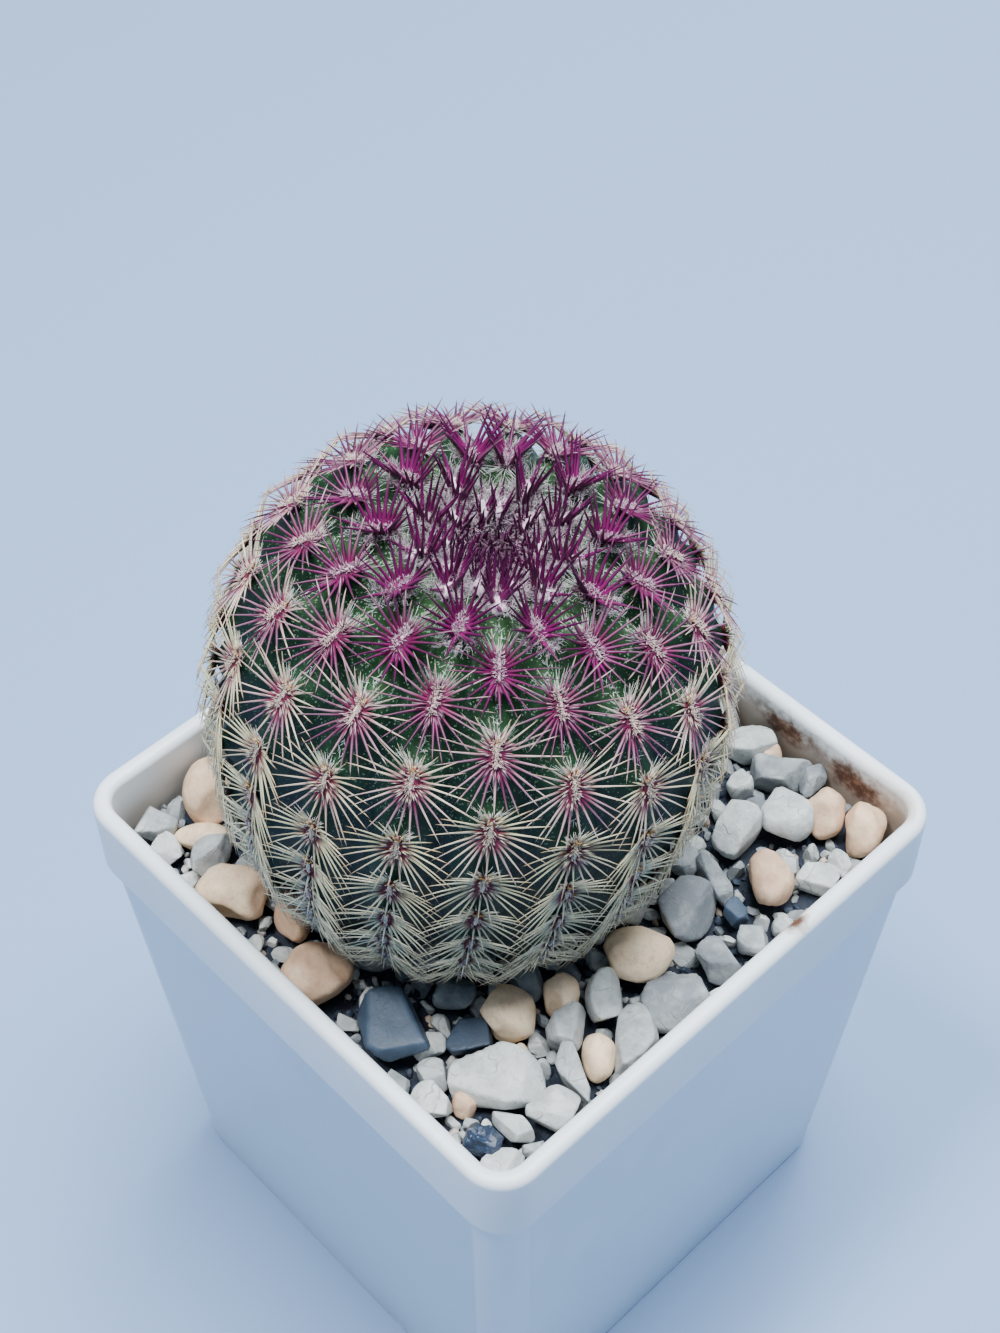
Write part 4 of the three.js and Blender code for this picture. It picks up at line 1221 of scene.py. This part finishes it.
# %% [markdown]
# ## Spines
#
# Each areole is a narrow oval along the rib. Its spines stand along both of its sides like two combs and
# meet in a short one at the bottom. On the flank they lie nearly flat and spread to all sides, and further
# down they arch towards the pot. In the crown they stand up in stiff fans that lean to the stem's middle.

# %% Lay the spines of one areole
seat_length = 2.0 * MM
seat_width = 0.75 * MM
stem_axis = np.array([0, 0, 1.0])


def areole_frame(areole):
    rib, _, arc = areole
    point, up, out, across = on_stem(arc, rib_angle(rib), tubercle)
    in_crown = float(1 - smoothstep(arc, 6 * MM, 30 * MM))
    stand = unit(out * (1 - 0.7 * in_crown) + stem_axis * 0.7 * in_crown)
    return point, up, out, across, stand, in_crown


def lay_spines(areole, draw):
    arc = areole[2]
    point, up, out, across, stand, in_crown = areole_frame(areole)
    comb = float(smoothstep(arc, 8 * MM, 20 * MM))
    droop = float(smoothstep(arc, 24 * MM, 54 * MM))
    each_side = round(mix(float(np.interp(arc / MM, [4, 6, 9], [3, 4, 5.4])),
                          float(np.interp(arc / MM, [48, 64], [12, 9])), comb))
    full = float(np.interp(arc / MM, [1.5, 4, 9, 50, 75], [2.4, 3.4, 7.6, 7.6, 6.4])) * MM
    width = float(np.interp(arc / MM, [3, 9, 14, 18, 27, 45, 60],
                            [0.5, 0.72, 0.6, 0.48, 0.43, 0.34, 0.29])) * MM
    rise = math.radians(mix(18, 44, in_crown))
    half_fan = float(np.interp(arc / MM, [4, 9, 14], [18, 27, 40]))
    loose = mix(6, 3 - 1.4 * droop, comb)
    spines = []
    for side in (-1, 1):
        for number in range(each_side):
            t = 1 - 2 * (number + 0.5 + draw.uniform(-0.2, 0.2)) / each_side
            turn = math.radians(90 - 82 * t + draw.uniform(-loose, loose) - 10 * droop * (1 - t * t))
            length = float(np.interp(t, [-1, -0.5, 0, 0.5, 0.8, 1], [0.76, 0.9, 1.0, 0.88, 0.6, 0.36]))
            length = full * mix(1, length, comb) * draw.uniform(0.93, 1.05)
            tilt = rise + math.radians(draw.uniform(-loose, loose) + 10 * max(t, 0) * comb)
            level = up * math.cos(turn) + across * (math.sin(turn) * side)
            flat_aim = level * math.cos(tilt) + stand * math.sin(tilt)
            spread = math.radians(half_fan * (number + 0.5) / each_side + draw.uniform(-2, 2))
            lean = 0.34 * t - 0.06 + draw.uniform(-0.05, 0.05)
            fan_aim = across * (math.sin(spread) * side) + stand * math.cos(spread) + up * lean
            aim = unit(mix(fan_aim, flat_aim, comb))
            inset = math.sqrt(max(0.15, 1 - 0.8 * t * t))
            foot = point + up * (t * seat_length * mix(0.5, 0.9, comb))
            foot = foot + across * (side * seat_width * inset * mix(0.6, 1, comb))
            bend = -out * (0.12 * length * comb) - up * (0.46 * length * droop * math.sin(turn))
            bend = bend + across * (draw.uniform(-0.03, 0.03) * length)
            zone = arc / stem_arc + 0.065 * t * comb
            spines.append({"foot": foot - aim * 0.3 * MM, "aim": aim, "bend": bend, "length": length,
                           "width": width * draw.uniform(0.85, 1.1), "zone": zone, "tint": draw.random()})
    last = -up * math.cos(rise) + stand * math.sin(rise) * 0.8
    spines.append({"foot": point - up * seat_length * 0.8, "aim": last, "bend": -out * 0.05 * full,
                   "length": full * 0.7, "width": width, "zone": arc / stem_arc, "tint": draw.random()})
    return spines


# %% The spines' colours
def make_spine_group():
    """Colour by the zone on the plant, at the base, the middle and the tip of each spine."""
    group = bpy.data.node_groups.new("spine colour", "ShaderNodeTree")
    panel = group.interface
    for name in ("Along", "Zone", "Tint"):
        panel.new_socket(name, in_out="INPUT", socket_type="NodeSocketFloat")
    panel.new_socket("Color", in_out="OUTPUT", socket_type="NodeSocketColor")
    given = group.nodes.new("NodeGroupInput").outputs
    result = group.nodes.new("NodeGroupOutput").inputs
    shift = add_maths(group, "MULTIPLY_ADD", given["Tint"], 0.06, -0.03)
    zone = add_maths(group, "ADD", given["Zone"], shift, clamp=True)
    base = add_ramp(group, zone, [
        (0.04, (0.075, 0.003, 0.052)), (0.10, (0.145, 0.003, 0.082)), (0.16, (0.13, 0.004, 0.072)),
        (0.22, (0.10, 0.004, 0.045)), (0.29, (0.14, 0.010, 0.056)), (0.36, (0.22, 0.030, 0.075)),
        (0.46, (0.21, 0.030, 0.042)), (0.62, (0.13, 0.020, 0.030)), (0.85, (0.26, 0.20, 0.16))])
    middle = add_ramp(group, zone, [
        (0.04, (0.055, 0.0025, 0.04)), (0.10, (0.10, 0.003, 0.062)), (0.16, (0.085, 0.005, 0.053)),
        (0.22, (0.115, 0.024, 0.076)), (0.29, (0.28, 0.130, 0.20)), (0.36, (0.58, 0.45, 0.36)),
        (0.46, (0.69, 0.62, 0.38)), (0.62, (0.69, 0.66, 0.47)), (0.85, (0.68, 0.66, 0.53))])
    tip = add_ramp(group, zone, [
        (0.04, (0.02, 0.002, 0.016)), (0.10, (0.04, 0.003, 0.028)), (0.16, (0.07, 0.010, 0.048)),
        (0.22, (0.24, 0.12, 0.15)), (0.29, (0.54, 0.42, 0.36)), (0.36, (0.52, 0.38, 0.26)),
        (0.46, (0.44, 0.27, 0.14)), (0.62, (0.50, 0.42, 0.29)), (0.85, (0.54, 0.51, 0.42))])
    reach = add_ramp(group, zone, [(0.08, 0.62), (0.30, 0.5), (0.45, 0.34), (0.6, 0.17)])
    share = add_maths(group, "DIVIDE", given["Along"], reach)
    low = add_mix(group, add_step(group, share, 0.2, 1.0), base, middle)
    whole = add_mix(group, add_step(group, given["Along"], 0.55, 0.95), low, tip)
    uneven = add_ramp(group, given["Tint"], [(0.0, 0.74), (1.0, 1.26)])
    group.links.new(add_mix(group, 1.0, whole, uneven, blend="MULTIPLY"), result["Color"])
    return group


spine_group = make_spine_group()


# %% The spines' finish
def make_spine_finish(name, roughness, along=None, pale=0.0):
    """Colour by the values that each copy carries. Pale mixes in a whitish pink. With along given, the
    colour is that of one height on the spines, and fuzz is added."""
    material, tree, shader = new_material(
        name, Roughness=roughness, Specular_IOR_Level=0.3, Subsurface_Weight=0.15,
        Subsurface_Radius=(0.001, 0.0006, 0.0006), Subsurface_Scale=0.4)
    colour = tree.nodes.new("ShaderNodeGroup")
    colour.node_tree = spine_group
    for value_name in ("Zone", "Tint") if along is not None else ("Along", "Zone", "Tint"):
        value = add_node(tree, "ShaderNodeAttribute", attribute_name=value_name.lower()).outputs["Fac"]
        tree.links.new(value, colour.inputs[value_name])
    result = colour.outputs["Color"]
    if pale:
        result = add_mix(tree, pale, result, (0.82, 0.70, 0.70))
    if along is not None:
        colour.inputs["Along"].default_value = along
        fuzz = add_noise(tree, object_point(tree), 0.22 * MM, detail=3)
        shade = add_ramp(tree, fuzz, [(0.3, 0.55), (0.7, 1.3)])
        result = add_mix(tree, 1.0, result, shade, blend="MULTIPLY")
        add_bump(tree, shader, fuzz, 0.2 * MM, 0.9)
    tree.links.new(result, shader.inputs["Base Color"])
    return material


spine_finish = make_spine_finish("glossy spines", 0.4)

# %% All the spines, in three pieces
def plant_spines(name, low, high, seed):
    draw = random.Random(seed)
    spines = []
    for areole in areoles:
        if low * MM <= areole[2] < high * MM:
            spines += lay_spines(areole, draw)
    print(name, len(spines), "spines")
    finish_piece(write_copies(spine_shape, spines), name, spine_finish, "cactus", "cactus")


plant_spines("spines_crown", 0, 20, 21)
plant_spines("spines_shoulder", 20, 48, 22)
plant_spines("spines_flank", 48, 100, 23)

# %% [markdown]
# ## Areoles, bristles and wool
#
# Round the spines' feet lies the areole itself: an oval cushion in the colour of the spines' bases, with a
# ridge of felt down its middle and a stubble of short bristles round it. Long white and short pale pink
# hairs fan out from its upper end, in the middle rows with a few tan bristles. The young areoles in the
# crown are wrapped in curly pinkish-white wool.

# %% One short hair, and how many there are
def short_hair(foot, aim, lengths, widths, zone, draw):
    """A straight hair. Its length and width are drawn from ranges in mm."""
    return {"foot": foot, "aim": aim, "bend": np.zeros(3), "length": draw.uniform(*lengths) * MM,
            "width": draw.uniform(*widths) * MM, "zone": zone, "tint": draw.random()}


def how_many(areole, arcs, counts):
    """A number that changes with the areole's arc from the crown, given at a few arcs in mm."""
    return round(np.interp(areole[2] / MM, arcs, counts))


# %% Cushions and felt ridges
def lay_pad(areole, length, width, lift, shift):
    point, up, out, *_ = areole_frame(areole)
    foot = point + up * (shift - length / 2) + out * lift
    return {"foot": foot, "aim": up, "bend": out * 0, "length": length, "width": width, "out": out,
            "zone": areole[2] / stem_arc, "tint": 0.5}


def make_felt():
    material, tree, shader = new_material("cream felt", Roughness=0.9)
    zone = add_node(tree, "ShaderNodeAttribute", attribute_name="zone").outputs["Fac"]
    colour = add_ramp(tree, zone, [(0.1, (0.60, 0.44, 0.54)), (0.2, (0.66, 0.46, 0.55)),
                                   (0.28, (0.86, 0.68, 0.60)), (0.45, (0.84, 0.71, 0.57)),
                                   (0.6, (0.66, 0.59, 0.57)), (0.72, (0.52, 0.50, 0.58)),
                                   (0.9, (0.42, 0.40, 0.40))])
    fuzz = add_noise(tree, object_point(tree), 0.16 * MM, detail=4)
    shade = add_ramp(tree, fuzz, [(0.38, 0.4), (0.62, 1.25)])
    colour = add_mix(tree, 1.0, colour, shade, blend="MULTIPLY")
    tree.links.new(colour, shader.inputs["Base Color"])
    add_bump(tree, shader, fuzz, 0.2 * MM, 0.9)
    return material


cushion_finish = make_spine_finish("bristly cushion", 0.7, along=0.0)
felt_finish = make_felt()
arcs_in_mm = [1.5, 6, 18, 35, 50, 90]
cushions = [lay_pad(areole, np.interp(areole[2] / MM, arcs_in_mm, [2, 2.4, 4.4, 4.2, 2.9, 2.4]) * MM,
                    np.interp(areole[2] / MM, arcs_in_mm, [1.4, 1.8, 2.3, 2.1, 1.4, 1.1]) * MM, -0.1 * MM, 0)
            for areole in areoles]
ridges = [lay_pad(areole, np.interp(areole[2] / MM, arcs_in_mm, [2, 2, 3.4, 3.2, 2.2, 1.8]) * MM,
                  0.58 * MM, 0.36 * MM, 0.2 * MM)
          for areole in areoles if areole[2] > 15 * MM]
finish_piece(write_copies(pad_shape, cushions), "areole_cushions", cushion_finish, "cactus", "cactus")
finish_piece(write_copies(pad_shape, ridges), "areole_ridges", felt_finish, "cactus", "cactus")

# %% Stubble round each ridge
def lay_stubble(areole, draw, count):
    point, up, out, across, stand, _ = areole_frame(areole)
    small = float(smoothstep(areole[2], 6 * MM, 18 * MM))
    bristles = []
    for _ in range(count):
        turn = draw.uniform(0, 2 * math.pi)
        share = math.sqrt(draw.uniform(0.3, 1))
        level = up * math.cos(turn) + across * math.sin(turn)
        foot = point + up * (math.cos(turn) * 2.0 * MM * share * mix(0.5, 1, small))
        foot = foot + across * (math.sin(turn) * 1.0 * MM * share) + out * (0.4 * MM * (1 - share * share))
        aim = level + stand * draw.uniform(0.25, 0.7)
        bristles.append(short_hair(foot, aim, (0.8, 1.9), (0.2, 0.3), areole[2] / stem_arc, draw))
    return bristles


def lay_felt(areole, draw, count):
    point, up, out, across, *_ = areole_frame(areole)
    fibres = []
    for _ in range(count):
        t = draw.uniform(-1, 1)
        aside = draw.uniform(-1, 1)
        foot = point + up * (t * 1.6 + 0.3) * MM + across * (aside * 0.42 * MM) + out * 0.4 * MM
        aim = out + across * (aside + draw.uniform(-0.8, 0.8)) + up * (0.5 * t + draw.uniform(-0.6, 0.8))
        fibres.append(short_hair(foot, aim, (0.35, 0.85), (0.12, 0.2), areole[2] / stem_arc, draw))
    return fibres


stubble_finish = make_spine_finish("short bristles", 0.5, pale=0.08)
draw = random.Random(31)
stubble = [bristle for areole in areoles
           for bristle in lay_stubble(areole, draw, how_many(areole, [30, 48], [64, 8]))]
felt = [fibre for areole in areoles if areole[2] > 10 * MM
        for fibre in lay_felt(areole, draw, how_many(areole, [12, 20, 34, 50], [60, 120, 60, 16]))]
finish_piece(write_copies(short_shape, stubble), "stubble", stubble_finish, "cactus", "cactus")
finish_piece(write_copies(short_shape, felt), "ridge_felt", felt_finish, "cactus", "cactus")

# %% White hairs at the areoles' upper ends
def make_hair_finish(name, colour):
    material, *_ = new_material(
        name, Roughness=0.55, Base_Color=(*colour, 1), Subsurface_Weight=0.3,
        Subsurface_Radius=(0.001, 0.0008, 0.0008), Subsurface_Scale=0.3)
    return material


def lay_tuft(areole, draw, count, lengths, widths):
    """Hairs that fan out from the areole's upper end, with their lengths and widths in mm."""
    point, up, out, across, *_ = areole_frame(areole)
    hairs = []
    for _ in range(count):
        sideways = draw.uniform(-0.9, 0.9)
        aim = up * draw.uniform(0.6, 1.1) + across * sideways + out * draw.uniform(0.1, 0.6)
        foot = point + up * draw.uniform(1.3, 2.1) * MM + across * (sideways * 0.65 * MM)
        hairs.append({"foot": foot, "aim": aim, "bend": -out * 0.2 * MM, "zone": 0.5, "tint": draw.random(),
                      "length": draw.uniform(*lengths) * MM, "width": draw.uniform(*widths) * MM})
    return hairs


def lay_crest_fuzz(areole, draw, count=14):
    """Short pale hairs that lie flat on the crest of the rib, half way up to the next areole."""
    rib, _, arc = areole
    hairs = []
    for _ in range(count):
        higher = draw.uniform(3.2, 5.6) * MM
        point, up, out, across = on_stem(arc - higher, rib_angle(rib), -0.3 * MM)
        turn = draw.uniform(0, 2 * math.pi)
        aim = up * math.cos(turn) + across * (0.6 * math.sin(turn)) + out * draw.uniform(0.1, 0.5)
        foot = point + across * (draw.gauss(0, 0.3) * MM)
        hairs.append(short_hair(foot, aim, (0.5, 1.2), (0.08, 0.13), 0.5, draw))
    return hairs


white_hair = make_hair_finish("white hairs", (0.78, 0.82, 0.76))
pale_hair = make_hair_finish("pale pink hairs", (0.74, 0.60, 0.57))
tufts, pale_tufts = [], []
for areole in areoles:
    if areole[2] > 10 * MM:
        tufts += lay_tuft(areole, draw, how_many(areole, [30, 50], [18, 4]), (1.4, 3.6), (0.07, 0.11))
    if areole[2] > 14 * MM:
        count = how_many(areole, [16, 30, 46], [36, 30, 6])
        pale_tufts += lay_tuft(areole, draw, count, (0.6, 1.6), (0.13, 0.22))
    if 17 * MM < areole[2] < 44 * MM:
        tufts += lay_crest_fuzz(areole, draw)
finish_piece(write_copies(short_shape, tufts), "white_hairs", white_hair, "cactus", "cactus")
finish_piece(write_copies(short_shape, pale_tufts), "pale_tufts", pale_hair, "cactus", "cactus")

# %% Tan points above the ridges
def lay_point(areole, draw, count=9):
    point, up, out, across, *_ = areole_frame(areole)
    bristles = []
    for _ in range(count):
        aside = draw.uniform(-1, 1)
        foot = point + up * draw.uniform(0.9, 1.5) * MM + across * (aside * 0.4 * MM) + out * 0.2 * MM
        aim = up + across * (aside * 0.35) + out * draw.uniform(0.3, 0.8)
        bristles.append(short_hair(foot, aim, (0.8, 1.4), (0.2, 0.3), 0.5, draw))
    return bristles


tan_hair = make_hair_finish("tan bristles", (0.50, 0.29, 0.11))
tan_points = [bristle for areole in areoles if 26 * MM < areole[2] < 54 * MM
              for bristle in lay_point(areole, draw)]
finish_piece(write_copies(short_shape, tan_points), "tan_points", tan_hair, "cactus", "cactus")

# %% Wool in the crown
def lay_wool(areole, draw, count=230):
    """Curly hairs on the outer side of a young areole. They lie on a cushion of the same wool."""
    point, up, out, across, *_ = areole_frame(areole)
    full = float(np.interp(areole[2] / MM, [10, 14], [1, 0.6])) * MM
    hairs = []
    for _ in range(count):
        turn = draw.uniform(0, 2 * math.pi)
        share = math.sqrt(draw.random())
        level = up * math.cos(turn) + across * math.sin(turn)
        foot = point - up * 1.0 * MM + up * (math.cos(turn) * 2.6 * MM * share)
        foot = foot + across * (math.sin(turn) * 2.0 * MM * share)
        aim = level * draw.uniform(-0.3, 0.9) + out * draw.uniform(0.4, 1.0)
        length = draw.uniform(0.8, 2.0) * full
        hairs.append({"foot": foot, "aim": aim, "bend": level * 0.4 * MM, "length": length,
                      "width": draw.uniform(0.05, 0.08) * MM, "zone": 0.1, "tint": draw.random()})
    return hairs


wool_finish = make_hair_finish("pinkish wool", (0.80, 0.65, 0.73))
young = [areole for areole in areoles if 4 * MM < areole[2] < 17 * MM]
wool = [hair for areole in young for hair in lay_wool(areole, draw)]
wool_pads = [lay_pad(areole, 3.4 * MM, 2.4 * MM, -0.1 * MM, -0.9 * MM)
             for areole in young if areole[2] < 12 * MM]
curly = write_copies(wool_shape, wool, curl=(1.3, 0.2 * MM))
finish_piece(curly, "crown_wool", wool_finish, "cactus", "cactus")
finish_piece(write_copies(pad_shape, wool_pads), "wool_cushions", wool_finish, "cactus", "cactus")
